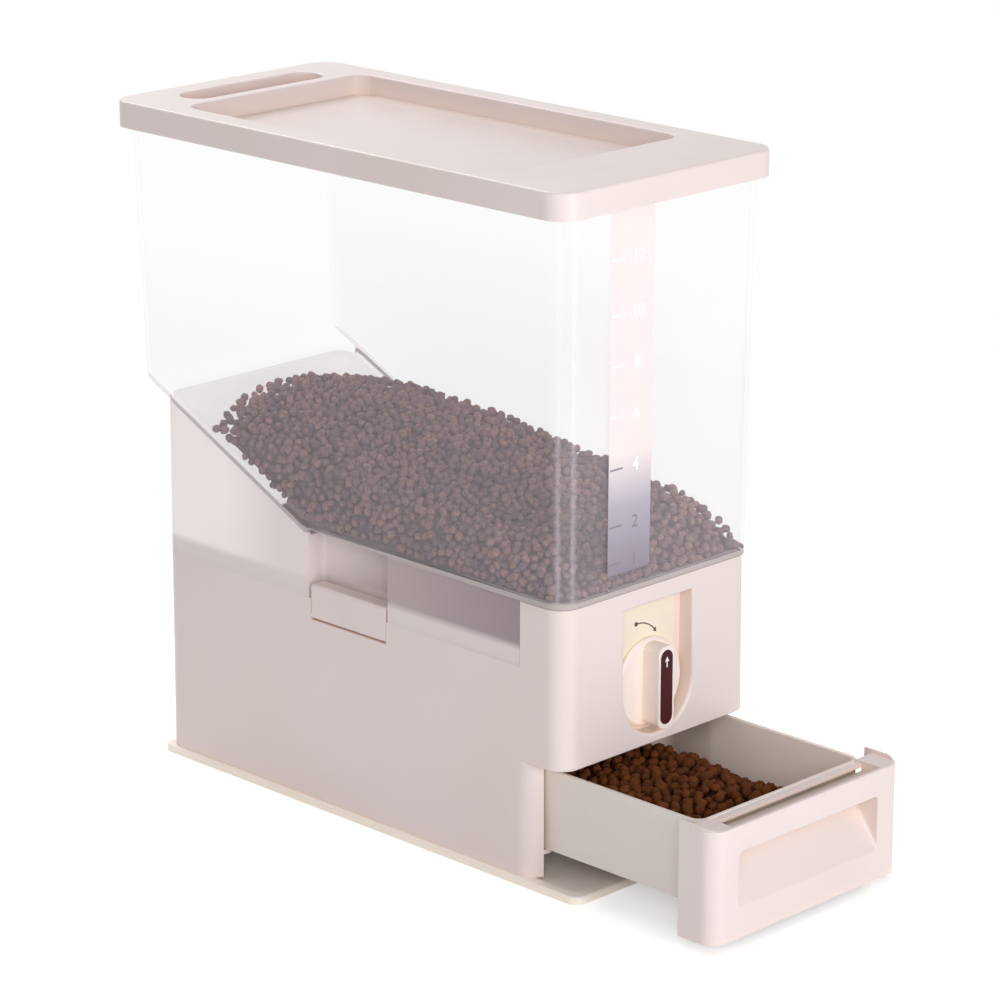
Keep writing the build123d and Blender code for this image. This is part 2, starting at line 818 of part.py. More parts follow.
with BuildPart() as metering_rotor:
    vane_root = rotor_hub - rotor_vane
    with BuildSketch(upright(rotor_front)):
        with Locations((0, axis_height)):
            Circle(rotor_hub)
            with PolarLocations((rotor_radius + vane_root) / 2, rotor_vanes, start_angle=45):
                Rectangle(rotor_radius - vane_root, rotor_vane)
    extrude(amount=-rotor_length)
    for y in (rotor_front, rotor_back - rotor_disc):
        with BuildSketch(upright(y)):
            with Locations((0, axis_height)):
                Circle(rotor_radius)
        extrude(amount=-rotor_disc)
    extrude(shaft_section(rotor_front, seat_clearance), amount=-rotor_length, mode=Mode.SUBTRACT)
save(metering_rotor.part, "metering_rotor")

with BuildPart() as rotor_shaft:
    extrude(shaft_section(shaft_front), amount=-(hub_back - shaft_front))
    with BuildSketch(upright(hub_back)):
        with Locations((0, axis_height)):
            Circle(shaft_radius)
    extrude(amount=-(rotor_front - hub_back))
    extrude(shaft_section(rotor_front), amount=-rotor_length)
    with BuildSketch(upright(rotor_back)):
        with Locations((0, axis_height)):
            Circle(shaft_radius)
    extrude(amount=-(shaft_back - rotor_back))
    with BuildSketch(upright(clip_front)):
        with Locations((0, axis_height)):
            Circle(shaft_radius + cut_spare)
            Circle(shaft_radius - clip_groove, mode=Mode.SUBTRACT)
    extrude(amount=-clip_thickness, mode=Mode.SUBTRACT)
    with BuildSketch(upright(shaft_front)):
        with Locations((0, axis_height)):
            Circle(screw_radius + screw_clearance)
    extrude(amount=-screw_length, mode=Mode.SUBTRACT)
save(rotor_shaft.part, "rotor_shaft")

with BuildPart() as shaft_clip:
    with BuildSketch(upright(clip_front + clip_thickness * 0.1)):
        with Locations((0, axis_height)):
            Circle(clip_radius)
            Circle(shaft_radius - clip_groove + seat_clearance, mode=Mode.SUBTRACT)
        with Locations((0, axis_height - clip_radius)):
            Rectangle(2 * shaft_radius - clip_groove, 2 * clip_radius, mode=Mode.SUBTRACT)
    extrude(amount=-clip_thickness * 0.8)
save(shaft_clip.part, "shaft_clip")


def bush(body_front, body_length, flange_front):
    """A flanged bush for the shaft, in its wall's bore."""
    with BuildPart() as piece:
        with BuildSketch(upright(body_front)):
            with Locations((0, axis_height)):
                Circle(bush_radius)
        extrude(amount=-body_length)
        with BuildSketch(upright(flange_front)):
            with Locations((0, axis_height)):
                Circle(bush_radius + bush_flange)
        extrude(amount=-bush_flange_thickness)
        with BuildSketch(upright(body_front - body_length)):
            with Locations((0, axis_height)):
                Circle(shaft_radius + bush_clearance)
        extrude(amount=-3 * body_length, mode=Mode.SUBTRACT)
    return piece.part


save(bush(chamber_front, chamber_plate, chamber_front - bush_flange_thickness), "front_bush")
save(bush(cover_front, cover_thickness, cover_back), "rear_bush")

# Knob, with its dark insert and the screw under it
with BuildPart() as knob:
    with BuildSketch(upright(knob_face)):
        with Locations((0, axis_height)):
            Circle(knob_radius)
    extrude(amount=-knob_disc)
    chamfer(knob.edges().sort_by(Axis.Y)[0], knob_bevel)
    with BuildSketch(upright(grip_face)):
        with Locations((0, axis_height)):
            RectangleRounded(grip_width, 2 * grip_half_length, grip_width / 2 - grip_round)
    extrude(amount=-(grip_height + knob_bevel))
    with BuildSketch(upright(knob_face)):
        with Locations((0, axis_height)):
            Circle(knob_hub)
    extrude(amount=-(hub_back - knob_face))
    with BuildSketch(upright(grip_face)):
        with Locations((0, axis_height)):
            SlotOverall(insert_length + 2 * insert_gap, insert_width + 2 * insert_gap, rotation=90)
    extrude(amount=-(insert_floor - grip_face), mode=Mode.SUBTRACT)
    with BuildSketch(upright(insert_floor)):
        with Locations((0, axis_height)):
            Circle(screw_head + screw_clearance)
    extrude(amount=-(screw_seat - insert_floor), mode=Mode.SUBTRACT)
    with BuildSketch(upright(screw_seat)):
        with Locations((0, axis_height)):
            Circle(screw_hole)
    extrude(amount=-(shaft_front - screw_seat), mode=Mode.SUBTRACT)
    extrude(
        shaft_section(shaft_front - seat_clearance, seat_clearance),
        amount=-(hub_back - shaft_front + seat_clearance),
        mode=Mode.SUBTRACT,
    )
save(knob.part, "knob")

with BuildPart() as knob_insert:
    with BuildSketch(upright(insert_floor)):
        with Locations((0, axis_height)):
            SlotOverall(insert_length, insert_width, rotation=90)
    extrude(amount=insert_thickness)
save(knob_insert.part, "knob_insert")

knob_screw = screw_group([Location((0, screw_seat, axis_height), (90, 0, 0))])
save(knob_screw, "knob_screw")

with BuildPart() as dial_plate:
    plate_top = recess_top - dial_plate_gap
    with BuildSketch(upright(recess_back)):
        with Locations((0, axis_height)):
            Circle(dial_plate_half_width)
        with Locations((0, (axis_height + plate_top) / 2)):
            Rectangle(2 * dial_plate_half_width, plate_top - axis_height)
    extrude(amount=dial_plate_thickness)
    with BuildSketch(upright(recess_back)):
        with Locations((0, axis_height)):
            Circle(knob_hub + bay_clearance)
    extrude(amount=dial_plate_thickness, mode=Mode.SUBTRACT)
save(dial_plate.part, "dial_plate")

housing_screws = screw_group(
    [Location((x, chamber_front + chamber_plate, z), (-90, 0, 0)) for x, z in boss_points]
)
save(housing_screws, "housing_screws")
cover_screws = screw_group(
    [Location((x, cover_back, z), (-90, 0, 0)) for x, z in cover_points],
    2 * cover_thickness + cover_boss_length - screw_tip_gap,
)
save(cover_screws, "cover_screws")


def latch(side):
    """A side latch: plate, hooked top, gussets, knuckle and two pins."""
    outer = pivot_x + latch_knuckle
    inner = outer - latch_wall
    hook = outer - latch_reach
    half = latch_length / 2
    with BuildPart() as piece:
        with BuildSketch(upright(latch_middle)) as profile:
            with BuildLine():
                Polyline(
                    (side * outer, latch_pivot_height),
                    (side * outer, latch_top),
                    (side * hook, latch_top),
                    (side * hook, latch_top - latch_wall),
                    (side * inner, latch_top - latch_wall),
                    (side * inner, latch_pivot_height),
                    close=True,
                )
            make_face()
            outer_corner = profile.vertices().sort_by_distance((side * outer, latch_top))[0]
            fillet(outer_corner, latch_round)
        extrude(amount=half, both=True)
        outer_ends = piece.edges().filter_by(
            lambda edge: abs(abs(edge.center().Y - latch_middle) - half) < 0.01
            and (side * edge.center().X > outer - latch_round or edge.center().Z > latch_top - 0.01)
        )
        fillet(outer_ends, latch_edge_round)
        with BuildSketch(upright(latch_middle)):
            with Locations((side * pivot_x, latch_pivot_height)):
                Circle(latch_knuckle)
        extrude(amount=half, both=True)
        for end in (-1, 1):
            with BuildSketch(upright(latch_middle + end * (half - latch_gusset / 2))):
                with BuildLine():
                    Polyline(
                        (side * inner, latch_top - latch_wall),
                        (side * (hook + latch_wall), latch_top - latch_wall),
                        (side * inner, latch_pivot_height),
                        close=True,
                    )
                make_face()
            extrude(amount=latch_gusset / 2, both=True)
        with BuildSketch(upright(latch_middle)):
            with Locations((side * pivot_x, latch_pivot_height)):
                Circle(pin_radius)
        extrude(amount=half + pin_length, both=True)
    return piece.part


save(latch(-1), "latch_left")
save(latch(1), "latch_right")


# Drawer bin and the cap on its front
def bin_outline(z, inset=0.0):
    """The bin's plan at a height, drawn in by an inset."""
    shrink = lean(bin_top - z, bin_side_draft)
    half_width = bin_width / 2 - shrink - inset
    corner = bin_corner - inset
    return outline(z, half_width, bin_front + inset, bin_rear - shrink - inset, corner)


with BuildPart() as drawer_bin:
    loft([bin_outline(bin_bottom), bin_outline(bin_top)])
    loft(
        [bin_outline(bin_bottom + bin_floor, bin_wall), bin_outline(bin_top, bin_wall)],
        mode=Mode.SUBTRACT,
    )
    fillet(drawer_bin.edges().group_by(Axis.Z)[-1], bin_rim_round)
    for side in (-1, 1):
        with BuildSketch(Plane.XY.offset(bin_top - bin_rim_round)):
            with Locations(
                (side * (bin_width / 2 + lug_width / 2 - bin_wall / 2), bin_rear - bin_corner)
            ):
                Rectangle(lug_width + bin_wall / 2, lug_length)
        extrude(amount=-lug_height)
    with BuildSketch(upright(bin_front + bin_wall)):
        with Locations(*drawer_boss_points):
            Circle(screw_hole)
    extrude(amount=bin_wall, mode=Mode.SUBTRACT)
save(drawer_bin.part, "drawer_bin")

def cap_outline(z, inset=0.0):
    """The cap's plan at a height, drawn in by an inset and open at the back."""
    with BuildSketch(Plane.XY.offset(z)) as shape:
        with Locations((0, (face_front + inset + cap_rear) / 2)):
            Rectangle(cap_width - 2 * inset, cap_depth - inset)
        fillet(shape.vertices().group_by(Axis.Y)[0], cap_corner - inset)
    return shape.sketch


# Lips on both sides of the cap's top, inside its rounded edge, which fade out at the front
with BuildPart() as cap_lips:
    lip_foot = cap_top - cap_wall
    lip_top = cap_top + cap_lip_height
    extrude(cap_outline(lip_foot, cap_edge_round), amount=lip_top - lip_foot)
    with BuildSketch(Plane.YZ):
        with BuildLine():
            Polyline(
                (face_front - cut_spare, lip_foot - cut_spare),
                (face_front + cap_wall, lip_foot - cut_spare),
                (face_front + cap_wall, cap_top),
                (face_front + cap_corner, lip_top),
                (face_front + cap_corner, lip_top + cut_spare),
                (face_front - cut_spare, lip_top + cut_spare),
                close=True,
            )
        make_face()
    extrude(amount=cap_width, both=True, mode=Mode.SUBTRACT)
    extrude(cap_outline(lip_foot, cap_wall), amount=cap_height, mode=Mode.SUBTRACT)
    with BuildSketch(Plane.XY.offset(lip_foot)):
        with Locations((0, (face_front + cap_rear) / 2)):
            Rectangle(cap_width - 2 * cap_corner, 2 * cap_depth)
    extrude(amount=cap_height, mode=Mode.SUBTRACT)

# The hollow that fingers reach into
scoop_low = cap_bottom + scoop_bottom
scoop_high = scoop_low + scoop_height


def scoop_profile(wall=0.0):
    """The finger scoop's side view, grown by a wall."""
    with BuildSketch(Plane.YZ) as shape:
        with BuildLine():
            Polyline(
                (face_front, scoop_low - wall),
                (face_front + scoop_depth + wall, scoop_high - scoop_roof - wall / 2),
                (face_front + scoop_depth + wall, scoop_high + wall),
                (face_front, scoop_high + wall),
                close=True,
            )
        make_face()
    return shape.sketch


with BuildPart() as scoop_hollow:
    extrude(scoop_profile(), amount=scoop_half_width, both=True)
    scoop_corners = scoop_hollow.edges().filter_by(
        lambda edge: edge.center().Y > face_front + cut_spare
        and abs(edge.center().X) > scoop_half_width - 0.01
    )
    fillet(scoop_corners, scoop_corner_round)

with BuildPart() as drawer_front:
    extrude(cap_outline(cap_bottom), amount=cap_height)
    cap_rim = drawer_front.edges().filter_by(
        lambda edge: edge.center().Z > cap_top - 0.01 and edge.center().Y < cap_rear - 0.01
    )
    fillet(cap_rim, cap_edge_round)
    add(cap_lips.part)
    extrude(cap_outline(cap_bottom, cap_wall), amount=cap_height - cap_wall, mode=Mode.SUBTRACT)
    # The top stops short of the side wings
    with BuildSketch(Plane.XY.offset(cap_top)):
        with Locations((0, cap_rear - cap_top_setback / 2)):
            Rectangle(cap_width - 2 * cap_wall, cap_top_setback)
    extrude(amount=-2 * cap_wall, mode=Mode.SUBTRACT)
    # Trough behind the face, with a lower ledge at its back
    trough_back = face_front + cap_wall + trough_width
    trough_middle = trough_back - trough_width / 2
    for grow, drop, step in ((cap_wall, cap_wall, Mode.ADD), (0.0, 0.0, Mode.SUBTRACT)):
        ledge_back = cap_rear - cap_top_setback
        for middle, width, depth in (
            (trough_middle, trough_width, trough_depth),
            ((trough_back + ledge_back) / 2, ledge_back - trough_back, trough_ledge_drop),
        ):
            with BuildSketch(Plane.XY.offset(cap_top)):
                with Locations((0, middle)):
                    Rectangle(2 * (trough_half_length + grow), width)
            extrude(amount=-(depth + drop), mode=step)
    # Finger scoop, deepest under its roof
    extrude(scoop_profile(scoop_wall), amount=scoop_half_width + scoop_wall, both=True)
    add(scoop_hollow.part, mode=Mode.SUBTRACT)
    scoop_mouth = drawer_front.edges().filter_by(
        lambda edge: edge.center().Y < face_front + 0.01
        and abs(edge.center().X) < scoop_half_width + 0.01
        and scoop_low - 0.01 < edge.center().Z < scoop_high + 0.01
    )
    fillet(scoop_mouth, scoop_mouth_round)
    # Bosses that the bin is screwed to
    with BuildSketch(upright(bin_front)):
        with Locations(*drawer_boss_points):
            Circle(drawer_boss_radius)
    extrude(amount=bin_front - face_front - cap_wall / 2)
    with BuildSketch(upright(bin_front)):
        with Locations(*drawer_boss_points):
            Circle(screw_radius + screw_clearance)
    extrude(amount=drawer_screw_length - bin_wall + screw_tip_gap, mode=Mode.SUBTRACT)
save(drawer_front.part, "drawer_front")

drawer_screws = screw_group(
    [Location((x, bin_front + bin_wall, z), (-90, 0, 0)) for x, z in drawer_boss_points],
    drawer_screw_length,
)
save(drawer_screws, "drawer_screws")
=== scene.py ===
# Dry pet food container with a metering knob and a drawer: finishes, food and studio.
import math
import random

import bpy
import numpy as np
from bpy.props import FloatProperty, FloatVectorProperty, IntProperty, PointerProperty
from mathutils import Euler, Matrix, Vector


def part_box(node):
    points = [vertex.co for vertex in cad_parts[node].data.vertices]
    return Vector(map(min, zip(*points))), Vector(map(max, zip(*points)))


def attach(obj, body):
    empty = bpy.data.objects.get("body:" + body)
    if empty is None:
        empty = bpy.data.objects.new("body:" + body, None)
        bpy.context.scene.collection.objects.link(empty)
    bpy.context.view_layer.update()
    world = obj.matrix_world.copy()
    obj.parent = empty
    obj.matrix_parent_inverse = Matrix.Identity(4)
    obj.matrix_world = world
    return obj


bl_info = {
    "name": "Pet Food Container",
    "version": (1, 0, 0),
    "blender": (4, 5, 0),
    "location": "3D View > Sidebar > Food Container",
    "description": "Finishes, food and studio for a pet food container",
    "category": "Object",
}

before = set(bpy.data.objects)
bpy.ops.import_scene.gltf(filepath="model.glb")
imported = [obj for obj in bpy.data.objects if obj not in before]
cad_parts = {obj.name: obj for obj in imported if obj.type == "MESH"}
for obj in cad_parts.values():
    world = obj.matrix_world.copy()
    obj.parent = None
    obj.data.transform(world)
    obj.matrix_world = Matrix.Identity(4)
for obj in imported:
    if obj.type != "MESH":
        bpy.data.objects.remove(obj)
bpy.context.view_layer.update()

BIN = [list(corner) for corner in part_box("drawer_bin")]
DIAL = [list(corner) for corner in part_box("dial_plate")]
INSERT = [list(corner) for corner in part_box("knob_insert")]

# Turns a flat new piece upright, to face the front
UPRIGHT = (math.pi / 2.0, 0.0, 0.0)


def colour(name, text, value):
    """A colour setting in linear light."""
    return FloatVectorProperty(
        name=name, description=text, default=value, subtype="COLOR", size=3, min=0.0, max=1.0
    )


def length(name, text, value):
    """A length setting in metres."""
    return FloatProperty(name=name, description=text, default=value, unit="LENGTH", precision=4)


def factor(name, text, value):
    """A plain number from nothing to one."""
    return FloatProperty(
        name=name, description=text, default=value, subtype="FACTOR", min=0.0, max=1.0
    )


def angle(name, text, value):
    """An angle setting, given in degrees."""
    return FloatProperty(
        name=name, description=text, default=math.radians(value), unit="ROTATION"
    )


def power(name, text, value):
    """A lamp's power in watts."""
    return FloatProperty(name=name, description=text, default=value, min=0.0, unit="POWER")


class PlasticSettings(bpy.types.PropertyGroup):
    cream: colour("Cream", "Cream plastic of the lid, base and drawer cap", (0.73, 0.64, 0.63))
    cream_deep: colour("Cream, deep", "Cream plastic where it is thicker", (0.70, 0.605, 0.585))
    dial: colour("Dial plate", "Warm white of the plate behind the knob", (0.76, 0.70, 0.58))
    milk: colour("Bin", "Milky plastic of the drawer's bin", (0.72, 0.655, 0.62))
    # The inside's paler colour is painted light, standing in for light that comes through the bin's
    # walls
    milk_inner: colour(
        "Bin, inside", "Milky plastic inside the bin, lit through its walls", (0.97, 0.83, 0.74)
    )
    milk_deep: colour("Bin, deep", "Milky plastic low in the bin", (0.69, 0.61, 0.56))
    white: colour("White", "White plastic of the metering parts", (0.80, 0.79, 0.77))
    # The base plate is painted paler than the cream: painted light that lifts it out of the shade
    # under the drawer
    plinth: colour("Plinth", "Paler cream of the plinth", (0.90, 0.82, 0.76))
    knob: colour("Knob", "Paler cream of the knob", (0.84, 0.74, 0.71))
    brown: colour("Knob insert", "Dark brown strip in the knob", (0.045, 0.007, 0.008))
    rubber: colour("Rubber", "Soft grey seal and wiper", (0.20, 0.19, 0.19))
    steel: colour("Steel", "Screws and clip", (0.56, 0.55, 0.54))
    grain: length("Grain", "Size of the moulded grain", 0.0011)


class HopperSettings(bpy.types.PropertyGroup):
    haze: colour("Haze", "Tint of the clear wall", (0.99, 0.91, 0.98))
    edge: colour("Edge", "Tint of the clear wall seen edge on", (0.50, 0.47, 0.56))
    # This tint is painted shade, standing in for the clear wall's refraction where it is seen edge
    # on
    lip: colour("Floor's edge", "Tint of the floor's edge behind the wall", (0.50, 0.43, 0.43))
    # The skirt's tones are painted light and shade: dark in front where the shaded inside shows
    # through, paler by the latch, and near white behind it where light comes through from the back
    frost: colour("Frost", "Tint of the frosted skirt in front", (0.33, 0.26, 0.28))
    frost_middle: colour("Frost, middle", "Tint of the skirt by the latch", (0.47, 0.385, 0.385))
    frost_rear: colour("Frost, rear", "Tint of the skirt behind the latch", (0.82, 0.73, 0.73))
    frost_back: colour("Frost, back", "Tint of the frosted skirt at the back", (1.0, 0.94, 0.93))
    rim: colour("Rim", "Tint of the skirt where the base's rim is behind it", (0.74, 0.655, 0.655))
    rim_top: length("Rim's top", "Height of the base's rim behind the skirt", 0.1532)
    haze_cover: factor("Haze cover", "How much one clear face hides, low down", 0.092)
    clear_cover: factor("Clear cover", "How much one clear face hides, higher up", 0.020)
    frost_cover: factor("Frost cover", "How much one frosted face hides in front", 0.86)
    back_cover: factor("Back cover", "How much one frosted face hides at the back", 0.93)
    dusty: length("Dusty height", "Height below which food has dulled the wall", 0.325)
    floor_height: length("Floor", "Height at which the frosted skirt begins", 0.1868)
    slope_foot: length("Slope's foot", "Where the floor starts to rise to the back", 0.0514)
    slope_angle: angle("Slope", "Angle of the sloping floor", 25.7)


class ScaleSettings(bpy.types.PropertyGroup):
    left: length("Strip's left", "Left edge of the smooth strip", -0.047)
    right: length("Strip's right", "Right edge of the smooth strip", -0.010)
    bottom: length("Strip's foot", "Lower end of the smooth strip", 0.197)
    top: length("Strip's top", "Upper end of the smooth strip", 0.4205)
    mark: length("Mark", "Length of one mark", 0.011)
    line: length("Line", "Thickness of one mark", 0.0011)
    digit: length("Digit", "Height of the numbers", 0.0085)
    ink: colour("Ink", "Grey of the low marks", (0.20, 0.18, 0.20))
    pale_ink: colour("Pale ink", "White of the high marks", (1.0, 0.97, 0.97))
    # The foot and middle tones are painted shade of the dark food behind the strip; the high tone
    # is its own pale colour
    strip_low: colour("Strip, low", "Tone of the strip's foot", (0.28, 0.235, 0.30))
    strip_middle: colour("Strip, middle", "Tone of the strip over the food", (0.46, 0.43, 0.51))
    strip_high: colour("Strip, high", "Tone of the strip above the food", (0.89, 0.78, 0.775))
    cover: factor("Strip cover", "How much the strip hides", 0.9)


class FoodSettings(bpy.types.PropertyGroup):
    small: length("Pellet, hopper", "Width of one pellet in the hopper", 0.0066)
    large: length("Pellet, drawer", "Width of one pellet in the drawer", 0.0080)
    spread: factor("Spread", "How much the pellets differ in size", 0.22)
    brown: colour("Food, drawer", "Brown of the pellets in the drawer", (0.19, 0.060, 0.016))
    # This darker brown colours some pellets, and the core under them, where it is painted shade
    # between the pellets
    dark: colour("Food, dark", "Darker brown of some pellets", (0.085, 0.025, 0.008))
    # The hopper's food is painted paler than the drawer's: painted light standing in for light
    # scattered by the wall over it
    dusty: colour("Food, hopper", "Paler brown of the pellets in the hopper", (0.42, 0.225, 0.165))
    # This dark tone colours the darkest pellets, and the core under them, where it is painted shade
    # between the pellets
    gaps: colour("Food, gaps", "Dark tone between the pellets in the hopper", (0.135, 0.092, 0.110))
    seed: IntProperty(name="Seed", description="Start of the scatter", default=7, min=0)


class StudioSettings(bpy.types.PropertyGroup):
    azimuth: angle("Azimuth", "Camera's turn about the object", -45.22)
    elevation: angle("Elevation", "Camera's height as an angle", 17.08)
    distance: length("Distance", "Camera's distance", 2.4859)
    lens: FloatProperty(name="Lens", description="Focal length in millimetres", default=139.7)
    front: power("Front", "Power of the low lamp in front", 32.0)
    side: power("Side", "Power of the lamp at the left", 18.5)
    back: power("Back", "Power of the lamp behind", 22.0)
    fill: factor("Fill", "Light from all round", 0.40)


# Small tools


def deselect():
    """Nothing selected, in object mode."""
    if bpy.context.object and bpy.context.object.mode != "OBJECT":
        bpy.ops.object.mode_set(mode="OBJECT")
    bpy.ops.object.select_all(action="DESELECT")


def select(piece):
    """Only this piece selected and active."""
    deselect()
    piece.select_set(True)
    bpy.context.view_layer.objects.active = piece


def settle(piece, name):
    """Names a piece and puts its place, turn and scale into its mesh."""
    select(piece)
    bpy.ops.object.transform_apply(location=True, rotation=True, scale=True)
    piece.name = name
    piece.data.name = name
    return piece


def outward(piece):
    """Merges doubles and turns every face outwards."""
    select(piece)
    bpy.ops.object.mode_set(mode="EDIT")
    bpy.ops.mesh.select_all(action="SELECT")
    bpy.ops.mesh.remove_doubles(threshold=1e-6)
    bpy.ops.mesh.normals_make_consistent(inside=False)
    bpy.ops.object.mode_set(mode="OBJECT")


def apply_all(piece):
    """Applies every modifier of a piece."""
    select(piece)
    for modifier in list(piece.modifiers):
        bpy.ops.object.modifier_apply(modifier=modifier.name)


def thicken(piece, depth):
    """Gives a flat print a little depth behind its face."""
    solid = piece.modifiers.new("Thickness", "SOLIDIFY")
    solid.thickness = depth
    solid.offset = -1.0
    apply_all(piece)


def smooth(piece, degrees):
    """Smooth shading with crisp edges over an angle."""
    select(piece)
    bpy.ops.object.shade_smooth_by_angle(angle=math.radians(degrees))


def smoothstep(low, high, value):
    """0 below low, 1 above high, and a soft rise between."""
    share = min(max((value - low) / (high - low), 0.0), 1.0)
    return share * share * (3.0 - 2.0 * share)


# Materials


class Nodes:
    """A material's node tree, with short ways to add and join nodes."""

    def __init__(self, name):
        self.material = bpy.data.materials.new(name)
        self.material.use_nodes = True
        self.tree = self.material.node_tree
        self.tree.nodes.clear()
        self.output = self.add("ShaderNodeOutputMaterial")
        self.shader = self.add("ShaderNodeBsdfPrincipled")
        self.join(self.shader.outputs["BSDF"], self.output.inputs["Surface"])
        self.place = self.add("ShaderNodeTexCoord").outputs["Object"]

    @classmethod
    def around(cls, material):
        """The nodes of a material that exists."""
        nodes = cls.__new__(cls)
        nodes.material = material
        nodes.tree = material.node_tree
        kinds = {node.bl_idname: node for node in nodes.tree.nodes}
        nodes.shader = kinds["ShaderNodeBsdfPrincipled"]
        nodes.place = kinds["ShaderNodeTexCoord"].outputs["Object"]
        return nodes

    def add(self, kind, **values):
        """A node with its properties set."""
        node = self.tree.nodes.new(kind)
        for key, value in values.items():
            setattr(node, key, value)
        return node

    def join(self, source, target):
        """Joins an output to an input."""
        self.tree.links.new(source, target)

    def put(self, target, value):
        """Joins a value that is an output, and sets one that is a number."""
        if isinstance(value, bpy.types.NodeSocket):
            self.join(value, target)
        else:
            target.default_value = value

    def noise(self, scale, detail=2.0, roughness=0.5):
        """Noise on the object's own coordinates, with its scale per metre."""
        node = self.add("ShaderNodeTexNoise")
        node.inputs["Scale"].default_value = scale
        node.inputs["Detail"].default_value = detail
        node.inputs["Roughness"].default_value = roughness
        self.join(self.place, node.inputs["Vector"])
        return node.outputs["Fac"]

    def spread(self, value, low, high, out_low, out_high):
        """Maps a value from one range to another."""
        node = self.add("ShaderNodeMapRange")
        self.join(value, node.inputs["Value"])
        for key, number in (
            ("From Min", low), ("From Max", high), ("To Min", out_low), ("To Max", out_high)
        ):
            node.inputs[key].default_value = number
        return node.outputs["Result"]

    def math(self, kind, first, second=0.0, clamp=False):
        """One sum of two values."""
        node = self.add("ShaderNodeMath", operation=kind, use_clamp=clamp)
        self.put(node.inputs[0], first)
        self.put(node.inputs[1], second)
        return node.outputs[0]

    def mix(self, amount, first, second):
        """A colour between two others."""
        node = self.add("ShaderNodeMix", data_type="RGBA")
        self.put(node.inputs["Factor"], amount)
        for key, value in (("A", first), ("B", second)):
            target = [i for i in node.inputs if i.name == key and i.type == "RGBA"][0]
            self.put(target, value if isinstance(value, bpy.types.NodeSocket) else (*value, 1.0))
        return [o for o in node.outputs if o.type == "RGBA"][0]

    def bump(self, height, strength, distance):
        """A bump from a height."""
        node = self.add("ShaderNodeBump")
        node.inputs["Strength"].default_value = strength
        node.inputs["Distance"].default_value = distance
        self.join(height, node.inputs["Height"])
        self.join(node.outputs["Normal"], self.shader.inputs["Normal"])

    def axes(self):
        """The object's X, Y and Z coordinates."""
        node = self.add("ShaderNodeSeparateXYZ")
        self.join(self.place, node.inputs[0])
        return node.outputs


def rays_to_the_eye(tree):
    """1 on rays that reach the eye straight, off a gloss or through clear plastic, else 0."""
    path = tree.nodes.new("ShaderNodeLightPath")
    found = path.outputs["Is Camera Ray"]
    for kind in ("Is Glossy Ray", "Is Transmission Ray"):
        either = tree.nodes.new("ShaderNodeMath")
        either.operation = "MAXIMUM"
        tree.links.new(found, either.inputs[0])
        tree.links.new(path.outputs[kind], either.inputs[1])
        found = either.outputs[0]
    return found


def side_seen(nodes, centre, limit):
    """1 on faces seen from outside a hollow moulding, and 0 on those seen from its inside.

    It compares the face's normal with the way out from the centre. A limit below nothing
    lets the walls of shallow pockets count as outside.
    """
    shape = nodes.add("ShaderNodeNewGeometry")
    arm = nodes.add("ShaderNodeVectorMath", operation="SUBTRACT")
    nodes.join(nodes.place, arm.inputs[0])
    arm.inputs[1].default_value = centre
    both = nodes.add("ShaderNodeVectorMath", operation="MULTIPLY")
    nodes.join(shape.outputs["True Normal"], both.inputs[0])
    nodes.join(arm.outputs["Vector"], both.inputs[1])
    parts = nodes.add("ShaderNodeSeparateXYZ")
    nodes.join(both.outputs["Vector"], parts.inputs[0])
    level = nodes.math("ADD", parts.outputs["X"], parts.outputs["Y"])
    return nodes.math("GREATER_THAN", level, limit)


# How far light bounces in a corner of the mouldings, and how much the painted bounce light there
# warms and lifts the tone
CORNER_REACH = 0.018
CORNER_LIGHT_GAIN = (1.17, 1.10, 0.98)


def moulded(name, light, deep, rough, grain, sheen=0.0, shine=0.5):
    """Injection-moulded plastic: soft tone changes, painted bounce light in its corners, fine grain
    and uneven gloss.
    """
    nodes = Nodes(name)
    tone = nodes.spread(nodes.noise(7.0, 3.0), 0.35, 0.65, 0.0, 1.0)
    # Painted bounce light: where the ambient occlusion finds a close corner, the tone turns paler
    # and warmer
    corners = nodes.add("ShaderNodeAmbientOcclusion", samples=6)
    corners.inputs["Distance"].default_value = CORNER_REACH
    open_air = nodes.spread(corners.outputs["AO"], 0.35, 0.90, 0.0, 1.0)
    painted_corner_light = tuple(min(1.0, part * gain) for part, gain in zip(light, CORNER_LIGHT_GAIN))
    base = nodes.mix(open_air, painted_corner_light, nodes.mix(tone, light, deep))
    nodes.join(base, nodes.shader.inputs["Base Color"])
    gloss = nodes.spread(nodes.noise(46.0, 3.0), 0.3, 0.7, rough - 0.05, rough + 0.06)
    nodes.join(gloss, nodes.shader.inputs["Roughness"])
    nodes.bump(nodes.noise(1.0 / grain, 2.0), 0.06, 0.0002)
    nodes.shader.inputs["IOR"].default_value = 1.46
    nodes.shader.inputs["Specular IOR Level"].default_value = shine
    nodes.shader.inputs["Coat Weight"].default_value = sheen
    nodes.shader.inputs["Coat Roughness"].default_value = 0.22
    return nodes.material


# The bin's inner faces: how much one hides, and the level of side_seen that parts them
INNER_COVER = 0.80
BIN_LIMIT = -0.010


def milky(name, light, deep, inner, rough, grain):
    """Milky plastic: closed to the eye from outside, and partly clear inside, where a paler painted
    light stands in for light through its walls.
    """
    material = moulded(name, light, deep, rough, grain)
    nodes = Nodes.around(material)
    outside = side_seen(nodes, (0.0, 0.5 * (BIN[0][1] + BIN[1][1]), 0.0), BIN_LIMIT)
    nodes.join(nodes.spread(outside, 0.0, 1.0, INNER_COVER, 1.0), nodes.shader.inputs["Alpha"])
    # Inner faces take the paler inside colour: painted light
    socket = nodes.shader.inputs["Base Color"]
    nodes.join(nodes.mix(outside, inner, socket.links[0].from_socket), socket)
    return material


